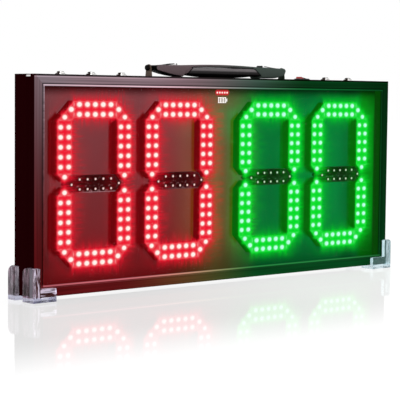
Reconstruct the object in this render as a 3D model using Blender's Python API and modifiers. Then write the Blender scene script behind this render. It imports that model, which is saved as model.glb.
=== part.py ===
"""An LED substitution board: a flat display in an aluminium frame, with four digits, buttons, a power
switch, a carrying handle and clear guards on its corners.

Units are metres and +Z is up. The board stands upright and faces -Y. The origin is on the surface that it
stands on, below the middle of the board. A depth is measured backwards from the front face of the frame.
"""

from math import asin, cos, pi, radians, sin

import bmesh
import bpy
from mathutils import Matrix, Vector

GAP = 0.0003

# The frame, which is cut from one aluminium extrusion
FRAME_WIDTH = 0.6556
FRAME_HEIGHT = 0.2817
FRAME_DEPTH = 0.0445
WALL = 0.0018
LIP_WIDTH = 0.015
LIP_LINE = 0.0106
LIP_LINE_SIZE = 0.0005
LEDGE_WIDTH = 0.0085
LEDGE_FRONT = 0.0039
LEDGE_BACK = 0.0054
GROOVE_FRONT = 0.0093
GROOVE_BACK = 0.0192
GROOVE_DEPTH = 0.0036
BOX_FRONT = 0.0075
BOX_BACK = 0.021
BOX_WIDTH = 0.007
INNER_WALL = 0.0054
CHAMBER_FRONT = 0.022
CHAMBER_BACK = 0.0391
FLANGE_WIDTH = 0.014
FLANGE_FRONT = 0.0409
FLANGE_BACK = 0.0427

# The sheets that fill the frame
PANEL_FRONT = 0.0021
PANEL_THICKNESS = 0.0015
BACKPLATE_FRONT = 0.0213
BACKPLATE_THICKNESS = 0.001
BACKPLATE_TOP_EDGE = 0.009
COVER_THICKNESS = 0.0015

# The digits: 12 LEDs on each of seven raised blocks
LED_PITCH = 0.0127
LED_ROW = 0.0064
LED_END = 0.0382
LED_RADIUS = 0.0026
LED_TIP = 0.0043
SEGMENT_LENGTH = 0.0894
SEGMENT_WIDTH = 0.0225
SEGMENT_FACE = 0.0068
SEGMENT_SIDE = 0.0484
SEGMENT_TOP = 0.0964
DIGIT_CENTRES = (-0.229, -0.0853, 0.0853, 0.229)
DIGIT_BOARD_SIZE = (0.119, 0.215)
DIGIT_BOARD_THICKNESS = 0.0008

# The controls on the top face, on one line behind the groove
CONTROL_DEPTH = 0.0288
BUTTON_CENTRES = (-0.268, -0.219, -0.169, 0.219, 0.268)
BUTTON_RING_RADIUS = 0.007
BUTTON_RING_HEIGHT = 0.0021
BUTTON_CAP_RADIUS = 0.005
BUTTON_CAP_HEIGHT = 0.0049
BUTTON_BARREL_RADIUS = 0.006
BUTTON_BARREL_LENGTH = 0.022
BUTTON_TRAVEL = 0.0015
NUT_FLATS = 0.014
NUT_HEIGHT = 0.0025
SWITCH_CENTRE = 0.169
SWITCH_TILT = radians(11.0)
SWITCH_PIVOT = -0.002
SWITCH_BEZEL_RADIUS = 0.0115
SWITCH_BEZEL_HEIGHT = 0.002
SWITCH_WELL = (0.0089, 0.0059)
SWITCH_SLEEVE = (0.0097, 0.0074)
SWITCH_DEPTH = 0.0086
ROCKER_SIZE = (0.0076, 0.0056)

# The handle, whose heights are above the top face of the frame
HANDLE_DEPTH = 0.026
HANDLE_WIDTH = 0.026
HANDLE_REACH = 0.1204
KNUCKLE = (0.0563, -0.0038)
KNUCKLE_RADIUS = 0.0176
RIM_WIDTH = 0.024
PIN_HEIGHT = 0.0119
PIN_RADIUS = 0.002
PIN_HEAD_RADIUS = 0.004
PIN_HEAD = (0.1262, 0.1294)
EAR = (0.1234, 0.1254)
EAR_DEPTH = 0.0263
EAR_HOLE_RADIUS = 0.0027

# The clear guards that the board stands on
GUARD_THICKNESS = 0.006
GUARD_HEIGHT = 0.0375
GUARD_LEG = {"left": 0.030, "right": 0.034}
GUARD_LEG_HEIGHT = 0.0115
GUARD_LAP = {"left": 0.0055, "right": 0.0078}
GUARD_DEPTH = {"front": 0.0176, "back": 0.0105}
GUARD_CORNER = {"front": 0.004, "back": 0.008}
GUARD_END_CORNER = {"front": 0.008, "back": 0.002}

BASE = GUARD_THICKNESS
FRONT = -FRAME_DEPTH / 2
LEFT = -FRAME_WIDTH / 2
RIGHT = FRAME_WIDTH / 2
TOP = BASE + FRAME_HEIGHT
MIDDLE = BASE + FRAME_HEIGHT / 2
CONTROL_Y = FRONT + CONTROL_DEPTH
HANDLE_Y = FRONT + HANDLE_DEPTH
COVER_FRONT = FRAME_DEPTH - COVER_THICKNESS

# The charging socket in the right side: the middle of its mouth, and how far in it reaches
SOCKET_PLACE = (RIGHT, FRONT + 0.0315, BASE + 0.07)
SOCKET_BACK = 0.0165
# Where the lead leaves the battery
BATTERY_LEAD_X = 0.232


def clear_scene():
    for item in list(bpy.data.objects):
        bpy.data.objects.remove(item)


def collection(name):
    group = bpy.data.collections.new(name)
    bpy.context.scene.collection.children.link(group)
    return group


clear_scene()
PART = collection("substitution_board")
CUTTERS = collection("cutters")


def finish(name, colour, roughness, metallic=0.0, alpha=1.0):
    """A material with one colour, which pieces of the same stuff share."""
    material = bpy.data.materials.new(name)
    material.use_nodes = True
    shader = material.node_tree.nodes["Principled BSDF"]
    shader.inputs["Base Color"].default_value = (*colour, 1.0)
    shader.inputs["Roughness"].default_value = roughness
    shader.inputs["Metallic"].default_value = metallic
    shader.inputs["Alpha"].default_value = alpha
    return material


DARK_ALUMINIUM = finish("dark_anodised_aluminium", (0.075, 0.062, 0.066), 0.36, 1.0)
BARE_ALUMINIUM = finish("bare_aluminium", (0.72, 0.72, 0.70), 0.32, 1.0)
CLEAR_SHEET = finish("smoked_clear_acrylic", (0.80, 0.82, 0.78), 0.05, alpha=0.25)
BLACK_SHEET = finish("black_painted_sheet", (0.03, 0.028, 0.028), 0.5)
RED_LED = finish("red_led_block", (0.75, 0.05, 0.09), 0.4)
GREEN_LED = finish("green_led_block", (0.05, 0.65, 0.18), 0.4)
CHROME = finish("polished_chrome", (0.78, 0.78, 0.78), 0.12, 1.0)
STEEL = finish("nickel_plated_steel", (0.55, 0.54, 0.52), 0.3, 1.0)
EAR_STEEL = finish("brown_coated_steel", (0.23, 0.19, 0.17), 0.42, 0.8)
BLACK_PLASTIC = finish("black_moulded_plastic", (0.02, 0.02, 0.02), 0.42)
RED_PLASTIC = finish("red_moulded_plastic", (0.62, 0.03, 0.03), 0.28)
GREY_PLASTIC = finish("grey_moulded_plastic", (0.20, 0.18, 0.19), 0.6)
GRIP_RUBBER = finish("soft_grip_rubber", (0.09, 0.085, 0.085), 0.72)
CLEAR_PLASTIC = finish("clear_moulded_plastic", (0.90, 0.92, 0.93), 0.08, alpha=0.3)
CIRCUIT = finish("green_circuit_board", (0.03, 0.16, 0.07), 0.45)
WRAP = finish("blue_battery_wrap", (0.04, 0.11, 0.30), 0.4)
LEAD = finish("black_lead_cover", (0.015, 0.015, 0.015), 0.55)


def add_object(name, mesh, material, place=(0, 0, 0), turn=(0, 0, 0), group=PART):
    """An object that links a mesh to a collection, with its own material slot."""
    item = bpy.data.objects.new(name, mesh)
    item.location = place
    item.rotation_euler = turn
    group.objects.link(item)
    if material:
        if not mesh.materials:
            mesh.materials.append(material)
        item.material_slots[0].link = "OBJECT"
        item.material_slots[0].material = material
    if group is CUTTERS:
        item.hide_render = True
        item.display_type = "WIRE"
    return item


def add_box(name, low, high, material, group=PART, bevel=0.0):
    """A box between two corners, with its origin at its centre."""
    low = Vector(low)
    high = Vector(high)
    shape = bmesh.new()
    bmesh.ops.create_cube(shape, size=1.0, matrix=Matrix.Diagonal((*(high - low), 1.0)))
    mesh = bpy.data.meshes.new(name)
    shape.to_mesh(mesh)
    shape.free()
    item = add_object(name, mesh, material, (low + high) / 2, group=group)
    if bevel:
        round_edges(item, bevel)
    return item


def add_cylinder(name, centre, radius, length, axis, sides, material, group=PART):
    """A cylinder about X, Y or Z, with its origin at its centre."""
    shape = bmesh.new()
    bmesh.ops.create_cone(
        shape, cap_ends=True, segments=sides, radius1=radius, radius2=radius, depth=length
    )
    mesh = bpy.data.meshes.new(name)
    shape.to_mesh(mesh)
    shape.free()
    turn = {"X": (0, pi / 2, 0), "Y": (pi / 2, 0, 0), "Z": (0, 0, 0)}[axis]
    return add_object(name, mesh, material, centre, turn, group)


def add_turned(name, profile, place, steps, material, turn=(0, 0, 0), hollow=False):
    """A profile of radius and height, turned once about its own Z axis."""
    mesh = bpy.data.meshes.new(name)
    count = len(profile)
    edges = [(i, i + 1) for i in range(count - 1)]
    if hollow:
        edges.append((count - 1, 0))
    mesh.from_pydata([(radius, 0, height) for radius, height in profile], edges, [])
    item = add_object(name, mesh, material, place, turn)
    screw = item.modifiers.new("turn", "SCREW")
    screw.steps = steps
    screw.render_steps = steps
    screw.use_merge_vertices = True
    screw.merge_threshold = 0.00001
    return item


def outline_mesh(name, loops, thickness):
    """A flat outline in XY, with any holes, as a solid with half its thickness on each side."""
    curve = bpy.data.curves.new(name, "CURVE")
    curve.dimensions = "2D"
    curve.fill_mode = "BOTH"
    curve.extrude = thickness / 2
    for loop in loops:
        spline = curve.splines.new("POLY")
        spline.points.add(len(loop) - 1)
        for point, (x, y) in zip(spline.points, loop):
            point.co = (x, y, 0, 1)
        spline.use_cyclic_u = True
    source = bpy.data.objects.new(name + "_outline", curve)
    CUTTERS.objects.link(source)
    mesh = take_mesh(name, source)
    return mesh


def take_mesh(name, source):
    """The evaluated mesh of an object in its place, with doubles welded and faces turned out."""
    bpy.context.view_layer.update()
    evaluated = source.evaluated_get(bpy.context.evaluated_depsgraph_get())
    mesh = bpy.data.meshes.new_from_object(evaluated)
    mesh.name = name
    mesh.transform(source.matrix_world)
    shape = bmesh.new()
    shape.from_mesh(mesh)
    bmesh.ops.remove_doubles(shape, verts=shape.verts, dist=0.000001)
    bmesh.ops.recalc_face_normals(shape, faces=shape.faces)
    shape.to_mesh(mesh)
    shape.free()
    mesh.materials.clear()
    bpy.data.objects.remove(source)
    return mesh


def add_outline(name, loops, thickness, place, turn, material, group=PART):
    return add_object(name, outline_mesh(name, loops, thickness), material, place, turn, group)


# An outline that faces the front: its X and Y become X and Z
FACING_FRONT = (pi / 2, 0, 0)
# An outline seen from the left side: its X and Y become -Y and Z
FACING_SIDE = (pi / 2, 0, -pi / 2)


def arc(centre, radius, start, end, count):
    """Points along an arc, with its angles in degrees."""
    steps = [start + (end - start) * i / (count - 1) for i in range(count)]
    return [
        (centre[0] + radius * cos(radians(step)), centre[1] + radius * sin(radians(step)))
        for step in steps
    ]


def mirrored(points, side):
    return [(x * side, z) for x, z in points]


def boolean(item, other, operation):
    """Cuts or joins another object, which then belongs to the cutters."""
    change = item.modifiers.new(other.name, "BOOLEAN")
    change.operation = operation
    change.solver = "EXACT"
    change.object = other
    if other.name in PART.objects:
        PART.objects.unlink(other)
        CUTTERS.objects.link(other)
    other.hide_render = True
    other.display_type = "WIRE"


def cut(item, cutter):
    boolean(item, cutter, "DIFFERENCE")


def join(item, addition):
    boolean(item, addition, "UNION")


def round_edges(item, width, segments=1, angle=40.0):
    bevel = item.modifiers.new("round", "BEVEL")
    bevel.width = width
    bevel.segments = segments
    bevel.limit_method = "ANGLE"
    bevel.angle_limit = radians(angle)


def attach(child, parent):
    """Makes a piece follow another, and leaves it where it is."""
    bpy.context.view_layer.update()
    child.parent = parent
    child.matrix_parent_inverse = parent.matrix_world.inverted()


def frame_profile():
    """The section of the frame: how far in from the outer face, and how far back."""
    outer = [
        (0, 0),
        (LIP_LINE, 0),
        (LIP_LINE, LIP_LINE_SIZE),
        (LIP_LINE + LIP_LINE_SIZE, LIP_LINE_SIZE),
        (LIP_LINE + LIP_LINE_SIZE, 0),
        (LIP_WIDTH, 0),
        (LIP_WIDTH, WALL),
        (WALL, WALL),
        (WALL, LEDGE_FRONT),
        (LEDGE_WIDTH, LEDGE_FRONT),
        (LEDGE_WIDTH, LEDGE_BACK),
        (WALL, LEDGE_BACK),
        (WALL, BOX_FRONT),
        (BOX_WIDTH, BOX_FRONT),
        (BOX_WIDTH, BOX_BACK),
        (INNER_WALL, BOX_BACK),
        (INNER_WALL, FLANGE_FRONT),
        (FLANGE_WIDTH, FLANGE_FRONT),
        (FLANGE_WIDTH, FLANGE_BACK),
        (WALL, FLANGE_BACK),
        (WALL, FRAME_DEPTH),
        (0, FRAME_DEPTH),
        (0, GROOVE_BACK),
        (GROOVE_DEPTH, GROOVE_BACK),
        (GROOVE_DEPTH, GROOVE_FRONT),
        (0, GROOVE_FRONT),
    ]
    chamber = [
        (WALL, CHAMBER_FRONT),
        (GROOVE_DEPTH, CHAMBER_FRONT),
        (GROOVE_DEPTH, CHAMBER_BACK),
        (WALL, CHAMBER_BACK),
    ]
    return [outer, chamber]


def add_frame_member(name, length, place, turn):
    """A length of the extrusion, whose ends are cut at 45 degrees, a hair short of its neighbours."""
    mesh = outline_mesh(name, frame_profile(), length)
    for vertex in mesh.vertices:
        inset = vertex.co.x + GAP / 2 ** 0.5
        vertex.co.z -= inset if vertex.co.z > 0 else -inset
    return add_object(name, mesh, DARK_ALUMINIUM, place, (0, turn, 0))


def add_frame():
    top = add_frame_member("frame_top", FRAME_WIDTH, (0, FRONT, TOP), pi / 2)
    bottom = add_frame_member("frame_bottom", FRAME_WIDTH, (0, FRONT, BASE), -pi / 2)
    left = add_frame_member("frame_left", FRAME_HEIGHT, (LEFT, FRONT, MIDDLE), 0)
    right = add_frame_member("frame_right", FRAME_HEIGHT, (RIGHT, FRONT, MIDDLE), pi)
    return {"top": top, "bottom": bottom, "left": left, "right": right}


def add_sheets():
    """The clear panel, the plate behind the digits and the rear cover, each held in the frame."""
    edge = WALL + GAP
    front = FRONT + PANEL_FRONT
    add_box(
        "front_panel",
        (LEFT + edge, front, BASE + edge),
        (RIGHT - edge, front + PANEL_THICKNESS, TOP - edge),
        CLEAR_SHEET,
    )
    plate_edge = INNER_WALL + GAP
    plate_front = FRONT + BACKPLATE_FRONT
    add_box(
        "backplate",
        (LEFT + plate_edge, plate_front, BASE + plate_edge),
        (RIGHT - plate_edge, plate_front + BACKPLATE_THICKNESS, TOP - BACKPLATE_TOP_EDGE),
        BLACK_SHEET,
    )
    return add_box(
        "rear_cover",
        (LEFT + edge, FRONT + COVER_FRONT, BASE + edge),
        (RIGHT - edge, FRONT + FRAME_DEPTH, TOP - edge),
        BLACK_SHEET,
    )


def add_groove_strip():
    """A flat bar that lies in the groove of the top face, and whose ends are bare."""
    height = 0.002
    low = TOP - GROOVE_DEPTH + GAP
    add_box(
        "top_groove_strip",
        (LEFT + GAP, FRONT + GROOVE_FRONT + GAP, low),
        (RIGHT - GAP, FRONT + GROOVE_BACK - GAP, low + height),
        BARE_ALUMINIUM,
    )


def add_corner_brackets():
    """An angle block in each corner behind the backplate, which keeps the frame square."""
    leg = 0.04
    thickness = 0.006
    gusset = 0.012
    front = BACKPLATE_FRONT + BACKPLATE_THICKNESS + GAP
    back = FLANGE_FRONT - GAP
    outline = [
        (0, 0),
        (leg, 0),
        (leg, thickness),
        (gusset + thickness, thickness),
        (thickness, gusset + thickness),
        (thickness, leg),
        (0, leg),
    ]
    inset = INNER_WALL + GAP
    for side, column in ((-1, "left"), (1, "right")):
        for rise, row in ((1, "bottom"), (-1, "top")):
            loop = [(-side * x, rise * z) for x, z in outline]
            corner_x = side * (RIGHT - inset)
            corner_z = (BASE if rise > 0 else TOP) + rise * inset
            place = (corner_x, FRONT + (front + back) / 2, corner_z)
            name = f"corner_bracket_{row}_{column}"
            add_outline(name, [loop], back - front, place, FACING_FRONT, BARE_ALUMINIUM)


def segment_places():
    """The middle of each segment of a digit, and whether it stands upright."""
    level = [(0, height, False) for height in (-SEGMENT_TOP, 0, SEGMENT_TOP)]
    upright = [
        (side * SEGMENT_SIDE, rise * SEGMENT_TOP / 2, True) for side in (-1, 1) for rise in (-1, 1)
    ]
    return level + upright


def led_places():
    """Twelve LEDs along a segment: two rows of five, and one at each tip."""
    rows = [(i * LED_PITCH, row) for i in range(-2, 3) for row in (-LED_ROW, LED_ROW)]
    return rows + [(-LED_END, 0), (LED_END, 0)]


def digit_mesh():
    """One digit: a thin board, seven raised blocks with pointed ends, and 84 LEDs, in one piece."""
    wide, tall = DIGIT_BOARD_SIZE
    back = BACKPLATE_FRONT - GAP
    face = SEGMENT_FACE
    low = (-wide / 2, back - DIGIT_BOARD_THICKNESS, -tall / 2)
    board = add_box("digit_source", low, (wide / 2, back, tall / 2), None, CUTTERS)
    half = SEGMENT_LENGTH / 2
    slope = SEGMENT_WIDTH / 2
    block = [
        (-half, 0),
        (slope - half, -slope),
        (half - slope, -slope),
        (half, 0),
        (half - slope, slope),
        (slope - half, slope),
    ]
    deep = back - DIGIT_BOARD_THICKNESS / 2 - face
    leds = bmesh.new()
    root = 0.0005
    for number, (x, z, upright) in enumerate(segment_places()):
        loop = [(v, u) for u, v in block] if upright else block
        loop = [(x + u, z + v) for u, v in loop]
        piece = add_outline(
            f"segment_{number}", [loop], deep, (0, face + deep / 2, 0), FACING_FRONT, None, CUTTERS
        )
        join(board, piece)
        for u, v in led_places():
            across, up = (v, u) if upright else (u, v)
            place = Vector((x + across, (face + root + LED_TIP) / 2, z + up))
            bmesh.ops.create_cone(
                leds,
                cap_ends=True,
                segments=6,
                radius1=LED_RADIUS,
                radius2=0,
                depth=face + root - LED_TIP,
                matrix=Matrix.Translation(place) @ Matrix.Rotation(pi / 2, 4, "X"),
            )
    mesh = bpy.data.meshes.new("leds")
    leds.to_mesh(mesh)
    leds.free()
    join(board, add_object("digit_leds", mesh, None, group=CUTTERS))
    return take_mesh("digit", board)


def add_digits():
    mesh = digit_mesh()
    for number, centre in enumerate(DIGIT_CENTRES, start=1):
        colour = RED_LED if centre < 0 else GREEN_LED
        add_object(f"digit_{number}", mesh, colour, (centre, FRONT, MIDDLE))


def add_battery_indicator():
    """A small block below the middle of the top edge, with a row of five LEDs above its picture."""
    centre = 0.0007
    width = 0.028
    top = TOP - 0.0165
    bottom = TOP - 0.0375
    face = 0.0176
    row = TOP - 0.0203
    pitch = 0.0046
    block = add_box(
        "battery_indicator",
        (centre - width / 2, FRONT + face, bottom),
        (centre + width / 2, FRONT + BACKPLATE_FRONT - GAP, top),
        BLACK_PLASTIC,
    )
    for number in range(5):
        x = centre + (number - 2) * pitch
        length = 0.0026
        place = (x, FRONT + face - length / 2 + GAP, row)
        name = f"indicator_led_{number}"
        join(block, add_cylinder(name, place, 0.0014, length, "Y", 8, None, CUTTERS))


def add_battery_pack():
    """A flat battery on the rear cover, with a raised cap where its lead comes out."""
    back = FRONT + COVER_FRONT - GAP
    left, right = 0.09, 0.225
    low, high = 0.07, 0.14
    thickness = 0.013
    cap_inset = 0.015
    cap_margin = 0.002
    pack = add_box(
        "battery_pack", (left, back - thickness, low), (right, back, high), WRAP, bevel=0.002
    )
    cap = add_box(
        "battery_pack_cap",
        (right - 0.0005, back - thickness + cap_margin, low + cap_inset),
        (BATTERY_LEAD_X, back - cap_margin, high - cap_inset),
        None,
    )
    join(pack, cap)


def add_controller_board():
    """The board behind the digits, with its processor, radio can and two connectors."""
    standoff = 0.002
    thickness = 0.0016
    front = FRONT + BACKPLATE_FRONT + BACKPLATE_THICKNESS + standoff
    back = front + thickness
    board = add_box("controller_board", (-0.16, front, 0.1), (-0.02, back, 0.18), CIRCUIT)
    parts = {
        "processor": ((-0.102, 0.13), (0.014, 0.014), 0.0016),
        "radio_can": ((-0.05, 0.135), (0.018, 0.024), 0.0032),
        "display_connector": ((-0.09, 0.168), (0.04, 0.008), 0.0085),
        "button_connector": ((-0.13, 0.11), (0.024, 0.008), 0.0085),
        "regulator": ((-0.142, 0.15), (0.016, 0.016), 0.0045),
    }
    for name, ((x, z), (wide, tall), height) in parts.items():
        low = (x - wide / 2, back - GAP, z - tall / 2)
        join(board, add_box(name, low, (x + wide / 2, back + height, z + tall / 2), None))
    half = 0.003
    for x in (-0.154, -0.026):
        for z in (0.106, 0.174):
            low = (x - half, front - standoff + GAP, z - half)
            join(board, add_box(f"spacer_{x}_{z}", low, (x + half, front + GAP, z + half), None))


def add_charge_socket(side_member):
    """A round charging socket in the right side: a flanged barrel with a pin down its middle."""
    flange = 0.0018
    flange_radius = 0.007
    barrel = 0.0055
    mouth = 0.0031
    mouth_floor = -0.013
    pin = 0.001
    pin_tip = -0.0055
    profile = [
        (0, pin_tip),
        (pin, pin_tip),
        (pin, mouth_floor),
        (mouth, mouth_floor),
        (mouth, flange),
        (flange_radius - 0.0004, flange),
        (flange_radius, flange - 0.0005),
        (flange_radius, GAP),
        (barrel, GAP),
        (barrel, -SOCKET_BACK),
        (0, -SOCKET_BACK),
    ]
    add_turned("charge_socket", profile, SOCKET_PLACE, 16, BLACK_PLASTIC, (0, pi / 2, 0))
    centre = (RIGHT - 0.004, SOCKET_PLACE[1], SOCKET_PLACE[2])
    hole = add_cylinder("socket_hole", centre, barrel + GAP, 0.012, "X", 16, None, CUTTERS)
    cut(side_member, hole)


def smooth_points(route, count):
    """Evenly spaced points on a smooth curve through the given ones (Catmull-Rom)."""
    route = [Vector(point) for point in route]
    padded = [2 * route[0] - route[1]] + route + [2 * route[-1] - route[-2]]
    points = []
    for i in range(count):
        reach = i / (count - 1) * (len(route) - 1)
        span = min(int(reach), len(route) - 2)
        t = reach - span
        a, b, c, d = padded[span : span + 4]
        point = 2 * b + (c - a) * t + (2 * a - 5 * b + 4 * c - d) * t * t
        points.append((point + (3 * b - a - 3 * c + d) * t ** 3) / 2)
    return points


def add_power_lead():
    """The lead from the battery to the charging socket, inside the rear of the frame."""
    depth = FRONT + COVER_FRONT - GAP - 0.0065
    start = 0.105
    socket_x = SOCKET_PLACE[0] - SOCKET_BACK - GAP
    socket_y, socket_z = SOCKET_PLACE[1:]
    route = [
        (BATTERY_LEAD_X + GAP, depth, start),
        (0.246, depth, start),
        (0.268, (depth + socket_y) / 2, 0.096),
        (0.286, socket_y, 0.08),
        (socket_x - 0.012, socket_y, socket_z),
        (socket_x, socket_y, socket_z),
    ]
    curve = bpy.data.curves.new("power_lead", "CURVE")
    curve.dimensions = "3D"
    curve.bevel_depth = 0.0019
    curve.bevel_resolution = 2
    curve.use_fill_caps = True
    points = smooth_points(route, 18)
    spline = curve.splines.new("POLY")
    spline.points.add(len(points) - 1)
    for point, place in zip(spline.points, points):
        point.co = (*place, 1)
    source = bpy.data.objects.new("power_lead_curve", curve)
    CUTTERS.objects.link(source)
    add_object("power_lead", take_mesh("power_lead", source), LEAD)


def add_buttons(top_member):
    """Five push buttons: a ring with a threaded barrel, a nut below it and a cap that sinks 1.5 mm."""
    steps = 16
    ring = BUTTON_RING_RADIUS
    top = BUTTON_RING_HEIGHT
    barrel = BUTTON_BARREL_RADIUS
    well_floor = top - 0.0014
    well = BUTTON_CAP_RADIUS + GAP
    stem = 0.003
    collar = 0.0042
    collar_top = -0.0083
    body_profile = [
        (stem + GAP, well_floor),
        (well, well_floor),
        (well, top),
        (ring - 0.0006, top),
        (ring, top - 0.0006),
        (ring, GAP),
        (barrel, GAP),
        (barrel, -BUTTON_BARREL_LENGTH),
        (collar + GAP, -BUTTON_BARREL_LENGTH),
        (collar + GAP, collar_top + GAP),
        (stem + GAP, collar_top + GAP),
    ]
    cap_base = well_floor + BUTTON_TRAVEL + 0.0001
    cap = BUTTON_CAP_RADIUS
    cap_top = BUTTON_CAP_HEIGHT
    cap_profile = [
        (0, cap_top),
        (cap * 0.72, cap_top - 0.0002),
        (cap - 0.0004, cap_top - 0.0008),
        (cap, cap_top - 0.0015),
        (cap, cap_base),
        (stem, cap_base),
        (stem, collar_top),
        (collar, collar_top),
        (collar, collar_top - 0.0035),
        (0, collar_top - 0.0035),
    ]
    corner = NUT_FLATS / 3 ** 0.5
    hexagon = [(corner * cos(pi * i / 3), corner * sin(pi * i / 3)) for i in range(6)]
    bore = arc((0, 0), barrel + GAP, 0, 330, 12)
    for number, x in enumerate(BUTTON_CENTRES, start=1):
        place = (x, CONTROL_Y, TOP)
        add_turned(f"button_body_{number}", body_profile, place, steps, CHROME, hollow=True)
        add_turned(f"button_cap_{number}", cap_profile, place, steps, CHROME)
        nut_place = (x, CONTROL_Y, TOP - INNER_WALL - GAP - NUT_HEIGHT / 2)
        add_outline(f"button_nut_{number}", [hexagon, bore], NUT_HEIGHT, nut_place, (0, 0, 0), STEEL)
        centre = (x, CONTROL_Y, TOP - 0.004)
        hole = add_cylinder(
            f"button_hole_{number}", centre, barrel + GAP, 0.012, "Z", 16, None, CUTTERS
        )
        cut(top_member, hole)


def add_switch(top_member):
    """The power switch: a round bezel on a rectangular sleeve, and a rocker on two small pins."""
    place = Vector((SWITCH_CENTRE, CONTROL_Y, TOP))
    well_x, well_y = SWITCH_WELL
    sleeve_x, sleeve_y = SWITCH_SLEEVE
    height = SWITCH_BEZEL_HEIGHT
    radius = SWITCH_BEZEL_RADIUS
    profile = [(0, height), (radius - 0.0005, height), (radius, height - 0.0005), (radius, GAP), (0, GAP)]
    bezel = add_turned("rocker_bezel", profile, place, 24, BLACK_PLASTIC)
    sleeve = add_box(
        "rocker_sleeve",
        place + Vector((-sleeve_x, -sleeve_y, -SWITCH_DEPTH)),
        place + Vector((sleeve_x, sleeve_y, height / 2)),
        None,
    )
    join(bezel, sleeve)
    low = place + Vector((-well_x, -well_y, -0.02))
    cut(bezel, add_box("rocker_well", low, place + Vector((well_x, well_y, 0.01)), None, CUTTERS))
    pivot = place + Vector((0, 0, SWITCH_PIVOT))
    pin = 0.0012
    pin_length = 2 * (sleeve_y - 0.0003)
    pin_hole = add_cylinder(
        "rocker_pin_hole", pivot, pin + GAP, 2 * sleeve_y + 0.002, "Y", 10, None, CUTTERS
    )
    cut(bezel, pin_hole)
    long, wide = ROCKER_SIZE
    ridge = (height - SWITCH_PIVOT) / cos(SWITCH_TILT)
    rise = long * sin(SWITCH_TILT) / cos(SWITCH_TILT)
    belly = arc((0, 0), 0.006, -35, -145, 6)
    outline = [(-long, ridge + rise), (0, ridge), (long, ridge + rise), (long, 0), *belly, (-long, 0)]
    rocker = add_outline(
        "rocker",
        [turned_points(outline, -SWITCH_TILT)],
        2 * wide,
        pivot,
        FACING_FRONT,
        RED_PLASTIC,
    )
    join(rocker, add_cylinder("rocker_pins", pivot, pin, pin_length, "Y", 10, None, CUTTERS))
    hole = add_box(
        "switch_hole",
        place + Vector((-sleeve_x - GAP, -sleeve_y - GAP, -0.012)),
        place + Vector((sleeve_x + GAP, sleeve_y + GAP, 0.01)),
        None,
        CUTTERS,
    )
    cut(top_member, hole)


def turned_points(points, angle):
    return [
        (x * cos(angle) - z * sin(angle), x * sin(angle) + z * cos(angle)) for x, z in points
    ]


def knuckle_angle(radius, height):
    """The angle in degrees at which an arc about the knuckle comes down to a height."""
    return asin((height - KNUCKLE[1]) / radius) * 180 / pi


def add_handle():
    """The soft grip and its rim, which lift together, and the end shells that turn at its knuckles."""
    low = 0.0007
    end_low = 0.0033
    start = knuckle_angle(KNUCKLE_RADIUS, end_low)
    right_arc = arc(KNUCKLE, KNUCKLE_RADIUS, start, 90, 6)
    half = [(0.028, low), (0.05, 0.0016), (0.068, 0.003), *right_arc, (0.02, 0.0142)]
    outline = half + [(-x, z) for x, z in reversed(half)]
    place = (0, HANDLE_Y, TOP)
    grip = add_outline("handle_grip", [outline], HANDLE_WIDTH, place, FACING_FRONT, GRIP_RUBBER)
    round_edges(grip, 0.0042, 3, 60)
    rim_end = KNUCKLE[0] - 0.0002
    rim_low = [(rim_end, 0.0142), (0.02, 0.0146)]
    rim_high = [(0, 0.0184), (0.016, 0.0182), (0.039, 0.0175), (rim_end, 0.0171)]
    under = [(-x, z) for x, z in rim_low] + list(reversed(rim_low))
    over = list(reversed(rim_high)) + [(-x, z) for x, z in rim_high[1:]]
    rim = add_outline("handle_rim", [under + over], RIM_WIDTH, place, FACING_FRONT, GREY_PLASTIC)
    round_edges(rim, 0.0011, 2, 60)
    attach(rim, grip)
    for side, name in ((-1, "left"), (1, "right")):
        shell = add_handle_end(name, side)
        attach(shell, grip)
        attach(add_handle_pin(name, side), shell)


def add_handle_end(name, side):
    """A hard shell that tapers from the knuckle to its round tip, with a raised wedge on its top."""
    seat = KNUCKLE_RADIUS + 0.0004
    tip = arc((HANDLE_REACH - 0.0043, 0.0117), 0.0043, -50, 65, 5)
    outline = [
        *arc(KNUCKLE, seat, 90, knuckle_angle(seat, 0.0006), 6),
        (0.0894, 0.0022),
        (0.1018, 0.0044),
        *tip,
        (0.110, 0.0152),
        (0.092, 0.0158),
        (0.075, 0.0163),
        (KNUCKLE[0] + 0.0002, 0.0171),
    ]
    turn_centre = (side * KNUCKLE[0], HANDLE_Y, TOP + KNUCKLE[1])
    local = [(x - KNUCKLE[0], z - KNUCKLE[1]) for x, z in outline]
    shell = add_outline(
        f"handle_end_{name}",
        [mirrored(local, side)],
        HANDLE_WIDTH - 0.0006,
        turn_centre,
        FACING_FRONT,
        GREY_PLASTIC,
    )
    round_edges(shell, 0.0022, 2, 60)
    wedge = [
        (0.0735, 0.0145),
        (0.111, 0.0145),
        (0.111, 0.0154),
        (0.098, 0.0168),
        (0.086, 0.0184),
        (0.0755, 0.019),
        (0.0735, 0.0184),
    ]
    local = [(x - KNUCKLE[0], z - KNUCKLE[1]) for x, z in wedge]
    rise = add_outline(
        f"end_wedge_{name}",
        [mirrored(local, side)],
        0.011,
        turn_centre,
        FACING_FRONT,
        None,
        CUTTERS,
    )
    join(shell, rise)
    centre = (side * 0.116, HANDLE_Y, TOP + PIN_HEIGHT)
    bore = add_cylinder(
        f"pin_bore_{name}", centre, PIN_RADIUS + GAP, 0.016, "X", 12, None, CUTTERS
    )
    cut(shell, bore)
    return shell


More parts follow.
